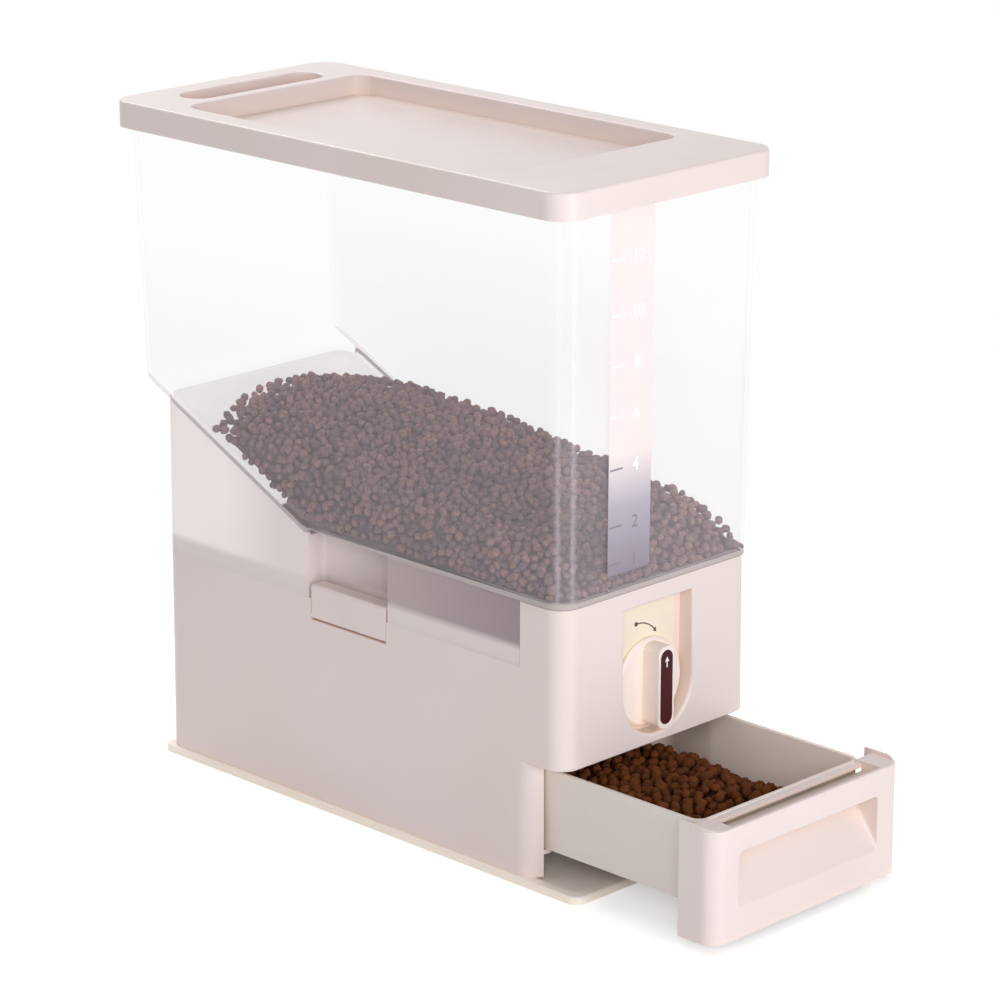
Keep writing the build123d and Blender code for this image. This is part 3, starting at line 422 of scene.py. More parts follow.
def brushed_steel(name, tone):
    """Plated steel with fine scratches."""
    nodes = Nodes(name)
    fine = nodes.noise(900.0, 4.0)
    shade = tuple(0.8 * part for part in tone)
    nodes.join(nodes.mix(fine, tone, shade), nodes.shader.inputs["Base Color"])
    nodes.shader.inputs["Metallic"].default_value = 1.0
    nodes.join(nodes.spread(fine, 0.3, 0.7, 0.22, 0.4), nodes.shader.inputs["Roughness"])
    nodes.bump(fine, 0.1, 0.00005)
    return nodes.material


def soft_rubber(name, tone):
    """Matt soft rubber with a dusty bloom."""
    nodes = Nodes(name)
    bloom = nodes.noise(120.0, 4.0)
    pale = tuple(min(1.0, part * 1.35) for part in tone)
    nodes.join(nodes.mix(bloom, tone, pale), nodes.shader.inputs["Base Color"])
    nodes.join(nodes.spread(bloom, 0.3, 0.7, 0.6, 0.8), nodes.shader.inputs["Roughness"])
    nodes.bump(nodes.noise(2500.0), 0.1, 0.00005)
    return nodes.material


# Where the hopper's tones change along its length, with the skirt's painted light and shade
SKIRT_FRONT = (-0.135, -0.020)
SKIRT_MIDDLE = (-0.020, 0.050)
SKIRT_REAR = (0.075, 0.125)
SKIRT_LOW = (0.125, 0.180)
SLOPE_START = (0.040, 0.046)

# Where they change across it, and up its height
INNER_WALL = (0.0822, 0.0828)
SKIRT_LOW_TOP = 0.195
SLOPE_THICKNESS = 0.0050
FLOOR_EDGE = (-0.0004, 0.0004)
FLOOR_LIP = (-0.0036, -0.0030)
RIM_BLUR = 0.0025
DUST_BLUR = 0.035

# The level of side_seen at which the latch pockets still count as outside
POCKET_LIMIT = -0.060

# The streaks of light beside the near left corner: its place, and how far off they lie
CORNER_TURN = 0.0935
CORNER_LIMIT = -0.2430
STREAK_NEAR = (0.0035, 0.0062)
STREAK_FAR = (0.0062, 0.0100)


def skirt_tone(nodes, axes, settings, front, lip):
    """Painted light and shade of the frosted skirt: shaded in front, lit from behind towards the
    back, and one tone over the base's rim.
    """
    middle = nodes.spread(axes["Y"], *SKIRT_MIDDLE, 0.0, 1.0)
    rear = nodes.spread(axes["Y"], *SKIRT_REAR, 0.0, 1.0)
    frost = nodes.mix(front, tuple(settings.frost), tuple(settings.frost_middle))
    frost = nodes.mix(middle, frost, tuple(settings.frost_rear))
    # Less painted light low down at the back, just above the rim
    low = nodes.spread(axes["Z"], settings.rim_top, SKIRT_LOW_TOP, 1.0, 0.0)
    low = nodes.math("MULTIPLY", low, nodes.spread(axes["Y"], *SKIRT_LOW, 0.22, 0.0))
    back = nodes.math("MULTIPLY", rear, nodes.math("SUBTRACT", 1.0, low))
    frost = nodes.mix(back, frost, tuple(settings.frost_back))
    held = nodes.spread(
        axes["Z"], settings.rim_top - RIM_BLUR, settings.rim_top + RIM_BLUR, 1.0, 0.0
    )
    frost = nodes.mix(held, frost, tuple(settings.rim))
    return nodes.mix(lip, frost, tuple(settings.lip))


def corner_streaks(nodes, axes):
    """1 on the two upright streaks of light beside the near left corner."""
    turn = nodes.math("SUBTRACT", axes["X"], axes["Y"])
    near = nodes.math("LESS_THAN", nodes.math("ADD", axes["X"], axes["Y"]), CORNER_LIMIT)
    away = nodes.math("ABSOLUTE", nodes.math("SUBTRACT", turn, CORNER_TURN))
    inner = nodes.spread(away, *STREAK_NEAR, 0.0, 1.0)
    outer = nodes.spread(away, *STREAK_FAR, 0.0, 1.0)
    return nodes.math("MULTIPLY", nodes.math("SUBTRACT", inner, outer, clamp=True), near)


def clear_and_frosted(name, settings):
    """The hopper's one moulding: clear above its floor, frosted in the skirt below."""
    nodes = Nodes(name)
    axes = nodes.axes()
    rise = nodes.math("SUBTRACT", axes["Y"], settings.slope_foot)
    rise = nodes.math("MAXIMUM", rise, 0.0)
    rise = nodes.math("MULTIPLY", rise, math.tan(settings.slope_angle))
    edge = nodes.math("ADD", rise, settings.floor_height)
    front = nodes.spread(axes["Y"], *SKIRT_FRONT, 0.0, 1.0)
    within = nodes.spread(nodes.math("ABSOLUTE", axes["X"]), *INNER_WALL, 1.0, 0.0)
    slope = nodes.math("MULTIPLY", within, nodes.spread(axes["Y"], *SLOPE_START, 0.0, 1.0))
    above = nodes.math("SUBTRACT", axes["Z"], edge)
    above = nodes.math("ADD", above, nodes.math("MULTIPLY", slope, SLOPE_THICKNESS))
    clear = nodes.spread(above, *FLOOR_EDGE, 0.0, 1.0)
    lip = nodes.spread(above, *FLOOR_LIP, 0.0, 1.0)
    lip = nodes.math("SUBTRACT", lip, slope, clamp=True)

    drift = nodes.spread(nodes.noise(9.0, 2.0), 0.35, 0.65, 0.94, 1.0)
    haze = nodes.mix(drift, tuple(0.94 * part for part in settings.haze), tuple(settings.haze))
    # Greyer where the wall is seen edge on: painted shade standing in for the wall's refraction
    weight = nodes.add("ShaderNodeLayerWeight")
    weight.inputs["Blend"].default_value = 0.5
    edge_on = nodes.spread(weight.outputs["Facing"], 0.80, 1.0, 0.0, 1.0)
    haze = nodes.mix(edge_on, haze, tuple(settings.edge))
    # The skirt's colour is painted light and shade
    frost = skirt_tone(nodes, axes, settings, front, lip)
    nodes.join(nodes.mix(clear, frost, haze), nodes.shader.inputs["Base Color"])

    outside = side_seen(nodes, (0.0, 0.0, 0.0), POCKET_LIMIT)
    covered = nodes.spread(front, 0.0, 1.0, settings.frost_cover, settings.back_cover)
    covered = nodes.math("MULTIPLY", covered, nodes.spread(outside, 0.0, 1.0, 0.28, 1.0))
    covered = nodes.math("MAXIMUM", covered, nodes.math("MULTIPLY", lip, 0.90))
    dust = nodes.spread(
        axes["Z"], settings.dusty - DUST_BLUR, settings.dusty + DUST_BLUR, settings.haze_cover,
        settings.clear_cover,
    )
    dust = nodes.math("MULTIPLY", dust, nodes.spread(slope, 0.0, 1.0, 1.0, 0.25))
    dust = nodes.math("ADD", dust, nodes.math("MULTIPLY", edge_on, 0.40))
    dust = nodes.math("ADD", dust, nodes.math("MULTIPLY", corner_streaks(nodes, axes), 0.09))
    cover = nodes.add("ShaderNodeMix", data_type="FLOAT")
    nodes.join(clear, cover.inputs["Factor"])
    nodes.join(covered, cover.inputs["A"])
    nodes.join(dust, cover.inputs["B"])
    nodes.join(cover.outputs["Result"], nodes.shader.inputs["Alpha"])

    streak = nodes.spread(nodes.noise(60.0, 3.0), 0.3, 0.7, 0.0, 0.05)
    rough = nodes.math("ADD", nodes.spread(clear, 0.0, 1.0, 0.5, 0.07), streak)
    nodes.join(rough, nodes.shader.inputs["Roughness"])
    nodes.bump(nodes.noise(700.0, 2.0), 0.03, 0.0002)
    nodes.shader.inputs["IOR"].default_value = 1.5
    nodes.material.surface_render_method = "DITHERED"
    return nodes.material


def printed(name, ink):
    """Thin printed ink with slightly uneven cover."""
    nodes = Nodes(name)
    uneven = nodes.noise(1400.0, 3.0)
    pale = tuple(min(1.0, part * 1.15 + 0.02) for part in ink)
    nodes.join(nodes.mix(uneven, tuple(ink), pale), nodes.shader.inputs["Base Color"])
    nodes.join(nodes.spread(uneven, 0.3, 0.7, 0.4, 0.55), nodes.shader.inputs["Roughness"])
    return nodes.material


def kibble(name, light, dark):
    """Baked pellets: each a little different, rough and crumbly."""
    nodes = Nodes(name)
    tint = nodes.add("ShaderNodeAttribute", attribute_name="tint").outputs["Fac"]
    crumb = nodes.noise(800.0, 4.0, 0.65)
    base = nodes.mix(tint, tuple(dark), tuple(light))
    deep = nodes.mix(nodes.spread(crumb, 0.35, 0.65, 0.0, 1.0), tuple(dark), base)
    nodes.join(deep, nodes.shader.inputs["Base Color"])
    nodes.join(nodes.spread(crumb, 0.3, 0.7, 0.70, 0.92), nodes.shader.inputs["Roughness"])
    nodes.bump(crumb, 0.35, 0.0006)
    nodes.shader.inputs["Specular IOR Level"].default_value = 0.08
    return nodes.material


def finish(names, material):
    """Gives CAD nodes a material through their slots."""
    for name in names:
        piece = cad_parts[name]
        if not piece.material_slots:
            piece.data.materials.append(material)
        for place in piece.material_slots:
            place.material = material


# Food

# The hopper's walls as the part's source makes them, from the foot of the clear wall up
WALL_FOOT = 0.183
INNER_HALF = 0.08327
INNER_FRONT = -0.1741
INNER_BACK = 0.2019
OUTER_FRONT = -0.1767
SIDE_DRAFT = math.radians(0.6)
FRONT_DRAFT = math.radians(0.4)
BACK_DRAFT = math.radians(2.2)

# The hopper's floor: its height by the outlet, and its gentle rise to the slope's foot
FLOOR_LOW = 0.1852
FLOOR_START = -0.1405
FLOOR_RISE = 0.0038

# The bin's walls and floor
BIN_RIM = 0.076
BIN_HALF = 0.0717
BIN_WALL = 0.0028
BIN_FLOOR = 0.0246
BIN_DRAFT = math.radians(2.5)

# Top of the food in the hopper: along its side walls, and how much higher it is in the middle
HEAP = (
    (-0.180, 0.191), (-0.168, 0.193), (-0.155, 0.201), (-0.143, 0.2065), (-0.130, 0.2120),
    (-0.115, 0.2150), (-0.095, 0.2165), (-0.055, 0.2215), (0.0, 0.2275),
    (0.040, 0.232), (0.090, 0.2345), (0.155, 0.2345), (0.200, 0.233),
)
CROWN = ((-0.180, 0.0), (-0.100, 0.0), (0.0, 0.004), (0.060, 0.010), (0.130, 0.014), (0.2, 0.012))
CROWN_HALF = 0.083

# Top of the food in the drawer: high on the left, with lumps
DRAWER_TOP = 0.0735
DRAWER_FALL = 0.032
DRAWER_SPAN = 0.070
DRAWER_LUMP = 0.003


def hopper_inside(z):
    """Half width, front and back of the hopper's inner walls at a height."""
    rise = z - WALL_FOOT
    half = INNER_HALF + rise * math.tan(SIDE_DRAFT)
    front = INNER_FRONT - rise * math.tan(FRONT_DRAFT)
    back = INNER_BACK + rise * math.tan(BACK_DRAFT)
    return half, front, back


def hopper_floor(y):
    """Height of the hopper's floor, which rises gently and then as a slope."""
    slope = bpy.context.scene.container_hopper
    share = min(max((y - FLOOR_START) / (slope.slope_foot - FLOOR_START), 0.0), 1.0)
    climb = max(0.0, y - slope.slope_foot) * math.tan(slope.slope_angle)
    return FLOOR_LOW + FLOOR_RISE * share + climb


def along(points, y):
    """A height read off a line of points."""
    places, heights = zip(*points)
    return float(np.interp(y, places, heights))


def hopper_level(x, y):
    """Top of the food in the hopper."""
    return along(HEAP, y) + along(CROWN, y) * (1.0 - (x / CROWN_HALF) ** 2)


def bin_inside(z):
    """Half width, front and back of the bin's inner walls at a height."""
    shrink = (BIN_RIM - z) * math.tan(BIN_DRAFT)
    return BIN_HALF - shrink, BIN[0][1] + BIN_WALL, BIN[1][1] - BIN_WALL - shrink


def bin_floor(y):
    """Height of the bin's floor, which is flat."""
    return BIN_FLOOR


def drawer_level(x, y):
    """Top of the food in the drawer."""
    fall = DRAWER_FALL * smoothstep(0.0, DRAWER_SPAN, x)
    lump = DRAWER_LUMP * math.sin(y * 60.0) * math.sin(x * 45.0)
    return DRAWER_TOP - fall + lump


def pellet_forms():
    """A few pellets one unit wide, each shaped from a cube, as lists of points and faces."""
    forms = []
    for turn in range(5):
        deselect()
        bpy.ops.mesh.primitive_cube_add(size=1.0)
        pellet = bpy.context.object
        bpy.ops.object.mode_set(mode="EDIT")
        bpy.ops.mesh.subdivide(number_cuts=1)
        bpy.ops.transform.tosphere(value=0.9)
        bpy.ops.transform.resize(value=(1.0, 0.94 - 0.03 * turn, 0.74 + 0.03 * turn))
        bpy.ops.transform.vertex_random(offset=0.055, uniform=0.3, normal=0.5, seed=turn + 1)
        bpy.ops.object.mode_set(mode="OBJECT")
        points = np.array([vertex.co[:] for vertex in pellet.data.vertices])
        points /= np.ptp(points[:, 0])
        faces = [tuple(face.vertices) for face in pellet.data.polygons]
        forms.append((points, faces))
        mesh = pellet.data
        bpy.data.objects.remove(pellet)
        bpy.data.meshes.remove(mesh)
    return forms


def throw(spots, gap):
    """Keeps the spots that lie no nearer to each other than a gap."""
    cells, kept = {}, []
    for spot in spots:
        key = tuple(int(math.floor(part / gap)) for part in spot)
        near = (
            other
            for dx in (-1, 0, 1)
            for dy in (-1, 0, 1)
            for dz in (-1, 0, 1)
            for other in cells.get((key[0] + dx, key[1] + dy, key[2] + dz), ())
        )
        if all(sum((a - b) ** 2 for a, b in zip(spot, other)) >= gap * gap for other in near):
            cells.setdefault(key, []).append(spot)
            kept.append(spot)
    return kept


# How deep the two outer layers of pellets lie under the top and behind the walls, in pellets
TOP_LAYERS = (0.55, 1.35)
SIDE_LAYERS = (0.45, 1.25)

# How uneven the top layers are, and the rounding of a vessel's inner corners
UNEVEN = 0.0018
INNER_CORNER = 0.011

# How near a pellet's middle comes to a wall, the floor, the top and its neighbour, in pellets
WALL_GAP = 0.42
FLOOR_GAP = 0.33
TOP_GAP = 0.3
PELLET_GAP = 0.75


def top_spots(inside, level, wide, chance, tries):
    """Spots for pellets under the top of a heap."""
    half, front, back = inside(level(0.0, 0.0))
    spots = []
    for depth in TOP_LAYERS:
        for _ in range(tries):
            x = chance.uniform(-half, half)
            y = chance.uniform(front, back)
            z = level(x, y) - depth * wide + chance.uniform(-UNEVEN, UNEVEN)
            spots.append((x, y, z))
    return spots


def side_spots(inside, floor, level, wide, chance, tries):
    """Spots for pellets behind the walls of a vessel."""
    reach = inside(level(0.0, 0.0))
    spots = []
    for depth in SIDE_LAYERS:
        inset = depth * wide
        for _ in range(tries):
            x = chance.uniform(-reach[0], reach[0])
            y = chance.uniform(reach[1], reach[2])
            z = chance.uniform(floor(y), level(x, y) - 0.5 * wide)
            half, front, back = inside(z)
            side = chance.random() * 2.0 * (half + half + back - front)
            if side < 2.0 * (back - front):
                x = (half - inset) * (1 if side < back - front else -1)
            else:
                y = front + inset if side < 2.0 * (back - front) + 2.0 * half else back - inset
            spots.append((x, y, z))
    return spots


def held(spot, inside, floor, level, wide):
    """Whether a pellet at a spot lies within its vessel and under the top of the heap."""
    x, y, z = spot
    half, front, back = inside(z)
    away = WALL_GAP * wide
    past_side = abs(x) - (half - INNER_CORNER)
    past_end = max(front + INNER_CORNER - y, y - (back - INNER_CORNER))
    in_corner = past_side > 0.0 and past_end > 0.0
    if in_corner and math.hypot(past_side, past_end) > INNER_CORNER - away:
        return False
    if abs(x) > half - away or y < front + away or y > back - away:
        return False
    return floor(y) + FLOOR_GAP * wide <= z <= level(x, y) - TOP_GAP * wide


def scatter(inside, floor, level, wide, chance, tries):
    """Spots for pellets in the two outer layers of a heap."""
    spots = top_spots(inside, level, wide, chance, tries)
    spots += side_spots(inside, floor, level, wide, chance, tries)
    kept = [spot for spot in spots if held(spot, inside, floor, level, wide)]
    return throw(kept, wide * PELLET_GAP)


def heap(name, spots, forms, wide, spread, chance):
    """One mesh of many pellets, with a tint for each."""
    points, faces, tints, start = [], [], [], 0
    for spot in spots:
        form, corners = forms[chance.randrange(len(forms))]
        size = wide * (1.0 + spread * chance.uniform(-1.0, 0.6))
        turn = Euler([chance.uniform(0.0, 2.0 * math.pi) for _ in range(3)]).to_matrix()
        points.append(form @ np.array(turn).T * size + np.array(spot))
        faces += [tuple(start + c for c in corner) for corner in corners]
        tints += [chance.random()] * len(form)
        start += len(form)
    mesh = bpy.data.meshes.new(name)
    mesh.from_pydata(np.concatenate(points).tolist(), [], faces)
    mesh.update()
    mesh.attributes.new("tint", "FLOAT", "POINT").data.foreach_set("value", tints)
    piece = bpy.data.objects.new(name, mesh)
    bpy.context.collection.objects.link(piece)
    select(piece)
    bpy.ops.object.shade_smooth()
    return piece


def core(name, inside, floor, level, wide):
    """A closed lump under the pellets, shaped from a grid, that fills the spaces between them with
    the food's dark tone as painted shade.
    """
    half, front, back = inside(level(0.0, 0.0))
    inset = 0.85 * wide
    deselect()
    bpy.ops.mesh.primitive_grid_add(x_subdivisions=16, y_subdivisions=40, size=1.0)
    lump = bpy.context.object
    lump.scale = (2.0 * (half - inset), back - front - 2.0 * inset, 1.0)
    lump.location = (0.0, (front + back) / 2.0, 0.0)
    settle(lump, name)
    shallow = set()
    for vertex in lump.data.vertices:
        top = level(vertex.co.x, vertex.co.y) - 1.1 * wide
        low = floor(vertex.co.y) + 0.3 * wide
        vertex.co.z = max(top, low)
        if top < low and vertex.co.y > 0.0:
            shallow.add(vertex.index)
    bpy.ops.object.mode_set(mode="EDIT")
    bpy.ops.mesh.select_all(action="DESELECT")
    bpy.ops.object.mode_set(mode="OBJECT")
    for index in shallow:
        lump.data.vertices[index].select = True
    bpy.ops.object.mode_set(mode="EDIT")
    bpy.ops.mesh.delete(type="VERT")
    bpy.ops.mesh.select_all(action="SELECT")
    bpy.ops.mesh.extrude_region()
    bpy.ops.object.mode_set(mode="OBJECT")
    for vertex in lump.data.vertices:
        if vertex.select:
            vertex.co.z = floor(vertex.co.y) + wide * 0.1
    outward(lump)
    smooth(lump, 40)
    # No tint, so the lump takes the dark tone: painted shade between the pellets
    lump.data.attributes.new("tint", "FLOAT", "POINT")
    return lump


def join(name, pieces):
    """Joins pieces into one."""
    deselect()
    for piece in pieces:
        piece.select_set(True)
    bpy.context.view_layer.objects.active = pieces[0]
    bpy.ops.object.join()
    pieces[0].name = name
    pieces[0].data.name = name
    return pieces[0]


# The most pellets in one piece, which keeps each piece under 200,000 triangles
PIECE_SHARE = 3900


def fill(name, body, inside, floor, level, wide, tones, tries, shift):
    """Food in a vessel: a core, and the pellets that show over it, in one or more pieces."""
    settings = bpy.context.scene.container_food
    chance = random.Random(settings.seed + shift)
    forms = pellet_forms()
    spots = scatter(inside, floor, level, wide, chance, tries)
    material = kibble(name.replace("_", " "), *tones)
    for part, start in enumerate(range(0, len(spots), PIECE_SHARE), 1):
        share = spots[start:start + PIECE_SHARE]
        food = heap(name + "_pellets", share, forms, wide, settings.spread, chance)
        title = name if len(spots) <= PIECE_SHARE else name + "_" + str(part)
        if part == 1:
            food = join(title, [food, core(name + "_core", inside, floor, level, wide)])
        food.name = title
        food.data.name = title
        food.data.materials.clear()
        food.data.materials.append(material)
        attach(food, body)


# Prints

# Heights of the fill scale's marks by their numbers
SCALE_HEIGHTS = {1: 0.204, 2: 0.2275, 4: 0.2633, 6: 0.2958, 8: 0.3270, 10: 0.3580, 12: 0.3920}

# The scale's marks and numbers from the strip's left edge, and the heights where the strip pales
MARK_INSET = 0.001
DIGIT_INSET = 0.0235
STRIP_LOW = (0.197, 0.242)
STRIP_HIGH = (0.240, 0.272)

# The dial's arc: its centre across and up, its radius, its line, and its ends from upright
DIAL_CENTRE = (-0.0088, 0.1352)
DIAL_RADIUS = 0.0208
DIAL_LINE = 0.00084
DIAL_START = math.radians(-3.1)
DIAL_END = math.radians(48.9)
DIAL_DOT = 0.0015
DIAL_HEAD = 0.0020

# The pointer arrow: its tip below the insert's top, its head and its stem
ARROW_DROP = 0.004
ARROW_HEAD = 0.0021
ARROW_STEM = (0.0009, 0.0040)


def front_wall(z):
    """Outer face of the hopper's front wall at a height."""
    return OUTER_FRONT - (z - WALL_FOOT) * math.tan(FRONT_DRAFT)


def band(name, left, right, bottom, top, proud, rounds=0.0):
    """A thin upright band that lies on the hopper's front wall."""
    deselect()
    bpy.ops.mesh.primitive_plane_add(size=1.0, rotation=UPRIGHT)
    strip = bpy.context.object
    strip.scale = (right - left, top - bottom, 1.0)
    strip.location = ((left + right) / 2.0, 0.0, (bottom + top) / 2.0)
    settle(strip, name)
    bpy.ops.object.mode_set(mode="EDIT")
    bpy.ops.mesh.select_all(action="SELECT")
    if rounds:
        bpy.ops.mesh.bevel(offset=rounds, segments=5, affect="VERTICES")
    bpy.ops.object.mode_set(mode="OBJECT")
    for vertex in strip.data.vertices:
        vertex.co.y = front_wall(vertex.co.z) - proud
    thicken(strip, proud * 0.6)
    return strip


def number(text, x, z, height):
    """A printed number on the hopper's front wall."""
    deselect()
    bpy.ops.object.text_add(rotation=UPRIGHT, location=(x, 0.0, z))
    words = bpy.context.object
    words.data.body = text
    words.data.size = height * 1.35
    words.data.align_x = "CENTER"
    words.data.align_y = "CENTER"
    words.data.extrude = 0.00004
    words.data.resolution_u = 4
    bpy.ops.object.convert(target="MESH")
    words = bpy.context.object
    settle(words, "number_" + text)
    for vertex in words.data.vertices:
        vertex.co.y += front_wall(vertex.co.z) - 0.00016
    return words


# Studio


# How far from the middle the floor goes white, and how much it is lifted before that
FLOOR_FADE = (0.34, 0.58)
FLOOR_LIFT = 0.40


def studio_floor():
    """A pale floor that goes white away from the container and keeps its shadow near it."""
    deselect()
    bpy.ops.mesh.primitive_plane_add(size=14.0)
    floor = bpy.context.object
    floor.name = "studio_floor"
    nodes = Nodes("Studio floor")
    tone = nodes.spread(nodes.noise(2.0), 0.3, 0.7, 0.0, 1.0)
    pale = nodes.mix(tone, (0.90, 0.90, 0.90), (0.92, 0.92, 0.92))
    seen = rays_to_the_eye(nodes.tree)
    away = nodes.add("ShaderNodeVectorMath", operation="LENGTH")
    nodes.join(nodes.place, away.inputs[0])
    far = nodes.spread(away.outputs["Value"], *FLOOR_FADE, 0.0, 1.0)
    blank = nodes.math("MULTIPLY", seen, far)
    nodes.join(nodes.mix(blank, pale, (0.0, 0.0, 0.0)), nodes.shader.inputs["Base Color"])
    nodes.shader.inputs["Roughness"].default_value = 0.8
    nodes.shader.inputs["Specular IOR Level"].default_value = 0.0
    nodes.shader.inputs["Emission Color"].default_value = (1.0, 1.0, 1.0, 1.0)
    lift = nodes.math("MULTIPLY", seen, nodes.spread(far, 0.0, 1.0, FLOOR_LIFT, 1.0))
    nodes.join(lift, nodes.shader.inputs["Emission Strength"])
    floor.data.materials.append(nodes.material)


def studio_surround(scene, fill_light):
    """Soft light from all round, and plain white where the eye sees past the floor."""
    world = bpy.data.worlds.new("Studio")
    world.use_nodes = True
    scene.world = world
    tree = world.node_tree
    tree.nodes.clear()
    output = tree.nodes.new("ShaderNodeOutputWorld")
    light = tree.nodes.new("ShaderNodeBackground")
    light.inputs["Color"].default_value = (1.0, 0.985, 0.98, 1.0)
    light.inputs["Strength"].default_value = fill_light
    white = tree.nodes.new("ShaderNodeBackground")
    white.inputs["Color"].default_value = (1.0, 1.0, 1.0, 1.0)
    choice = tree.nodes.new("ShaderNodeMixShader")
    tree.links.new(rays_to_the_eye(tree), choice.inputs["Fac"])
    tree.links.new(light.outputs[0], choice.inputs[1])
    tree.links.new(white.outputs[0], choice.inputs[2])
    tree.links.new(choice.outputs[0], output.inputs["Surface"])


def studio_lamp(scene, name, place, size, watts):
    """A square soft lamp that looks at the middle of the container."""
    lamp = bpy.data.lights.new(name, "AREA")
    lamp.energy = watts
    lamp.shape = "SQUARE"
    lamp.size = size
    holder = bpy.data.objects.new(name, lamp)
    scene.collection.objects.link(holder)
    holder.location = place
    aim = Vector((0.0, -0.05, 0.2)) - Vector(place)
    holder.rotation_euler = aim.to_track_quat("-Z", "Y").to_euler()


# The point that the camera circles, and how far the picture's middle lies to the right and below
CAMERA_CENTRE = Vector((0.0, 0.014, 0.20425))
CAMERA_RIGHT = 0.03804
CAMERA_DOWN = 0.0096


def studio_camera(scene, studio):
    """The camera, at the photograph's place and turn."""
    turn, lift = studio.azimuth, studio.elevation
    back = Vector(
        (math.sin(turn) * math.cos(lift), -math.cos(turn) * math.cos(lift), math.sin(lift))
    )
    right = Vector((math.cos(turn), math.sin(turn), 0.0))
    up = back.cross(right)
    lens = bpy.data.cameras.new("photo_camera")
    lens.lens = studio.lens
    lens.sensor_width = 36.0
    lens.clip_start = 0.05
    camera = bpy.data.objects.new("photo_camera", lens)
    scene.collection.objects.link(camera)
    place = CAMERA_CENTRE + back * studio.distance + right * CAMERA_RIGHT - up * CAMERA_DOWN
    turned = Matrix((right, up, back)).transposed().to_4x4()
    camera.matrix_world = Matrix.Translation(place) @ turned
    scene.camera = camera


# Operators


class CONTAINER_OT_plastics(bpy.types.Operator):
    """Gives the opaque mouldings their plastic"""

    bl_idname = "container.plastics"
    bl_label = "Finish the mouldings"

    def execute(self, context):
        tones = context.scene.container_plastic
        grain = tones.grain
        finish(
            ("lid", "base_housing", "latch_left", "latch_right", "drawer_front"),
            moulded("Cream plastic", tuple(tones.cream), tuple(tones.cream_deep), 0.36, grain, 0.2),
        )
        # The base plate's paler tone is painted light against the shade under the drawer
        deep = tuple(0.95 * part for part in tones.plinth)
        plinth = moulded("Plinth plastic with painted light", tuple(tones.plinth), deep, 0.36, grain, 0.1)
        finish(("base_plate",), plinth)
        deep = tuple(0.96 * part for part in tones.knob)
        finish(("knob",), moulded("Knob plastic", tuple(tones.knob), deep, 0.34, grain))
        light, deep, inner = tuple(tones.milk), tuple(tones.milk_deep), tuple(tones.milk_inner)
        finish(("drawer_bin",), milky("Milky plastic", light, deep, inner, 0.33, grain))
        deep = tuple(0.97 * part for part in tones.dial)
        finish(("dial_plate",), moulded("Warm white plate", tuple(tones.dial), deep, 0.42, grain))
        deep = tuple(0.94 * part for part in tones.white)
        finish(
            ("rotor_shaft", "metering_rotor", "rotor_housing", "rotor_cover", "front_bush",
             "rear_bush"),
            moulded("White plastic", tuple(tones.white), deep, 0.4, grain),
        )
        pale = tuple(1.3 * part for part in tones.brown)
        brown = moulded("Dark brown plastic", tuple(tones.brown), pale, 0.42, grain, shine=0.15)
        finish(("knob_insert",), brown)
        return {"FINISHED"}


class CONTAINER_OT_hardware(bpy.types.Operator):
    """Gives the seal, the wiper, the clip and the screws their finish"""

    bl_idname = "container.hardware"
    bl_label = "Finish the hardware"

    def execute(self, context):
        tones = context.scene.container_plastic
        finish(("outlet_seal", "wiper_strip"), soft_rubber("Soft rubber", tuple(tones.rubber)))
        finish(
            ("shaft_clip", "base_screws", "housing_screws", "cover_screws", "drawer_screws",
             "knob_screw"),
            brushed_steel("Plated steel", tuple(tones.steel)),
        )
        return {"FINISHED"}


class CONTAINER_OT_hopper(bpy.types.Operator):
    """Gives the hopper its clear and frosted finish"""

    bl_idname = "container.hopper"
    bl_label = "Finish the hopper"

    def execute(self, context):
        finish(("hopper",), clear_and_frosted("Clear hopper", context.scene.container_hopper))
        return {"FINISHED"}


class CONTAINER_OT_fill_scale(bpy.types.Operator):
    """Adds the smooth strip with its marks and numbers to the hopper's front"""

    bl_idname = "container.fill_scale"
    bl_label = "Add the fill scale"

    def execute(self, context):
        scale = context.scene.container_scale
        strip = band(
            "scale_strip", scale.left, scale.right, scale.bottom, scale.top, 0.0001, 0.002
        )
        low, middle = tuple(scale.strip_low), tuple(scale.strip_middle)
        nodes = Nodes("Smooth strip")
        height = nodes.axes()["Z"]
        # Darker low down, over the food: painted shade of the food behind the strip; pale above it
        tone = nodes.mix(nodes.spread(height, *STRIP_LOW, 0.0, 1.0), low, middle)
        pale = nodes.spread(height, *STRIP_HIGH, 0.0, 1.0)
        tone = nodes.mix(pale, tone, tuple(scale.strip_high))
        soft = nodes.spread(nodes.noise(40.0), 0.3, 0.7, 0.97, 1.0)
        nodes.join(nodes.mix(soft, low, tone), nodes.shader.inputs["Base Color"])
        nodes.shader.inputs["Alpha"].default_value = scale.cover
        nodes.shader.inputs["Roughness"].default_value = 0.4
        strip.data.materials.append(nodes.material)
        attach(strip, "base")
        left = scale.left + MARK_INSET
        dark, pale = [], []
        for value, z in SCALE_HEIGHTS.items():
            mark = band(
                "mark", left, left + scale.mark, z - scale.line / 2.0, z + scale.line / 2.0, 0.0002
            )
            (dark if value < 6 else pale).append(mark)
            digit = number(str(value), scale.left + DIGIT_INSET, z, scale.digit)
            (dark if value < 4 else pale).append(digit)
        for title, pieces, ink in (
            ("scale_marks", dark, scale.ink), ("scale_marks_pale", pale, scale.pale_ink)
        ):
            marks = join(title, pieces)
            marks.data.materials.clear()
            marks.data.materials.append(printed(title.replace("_", " "), tuple(ink)))
            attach(marks, "base")
        return {"FINISHED"}


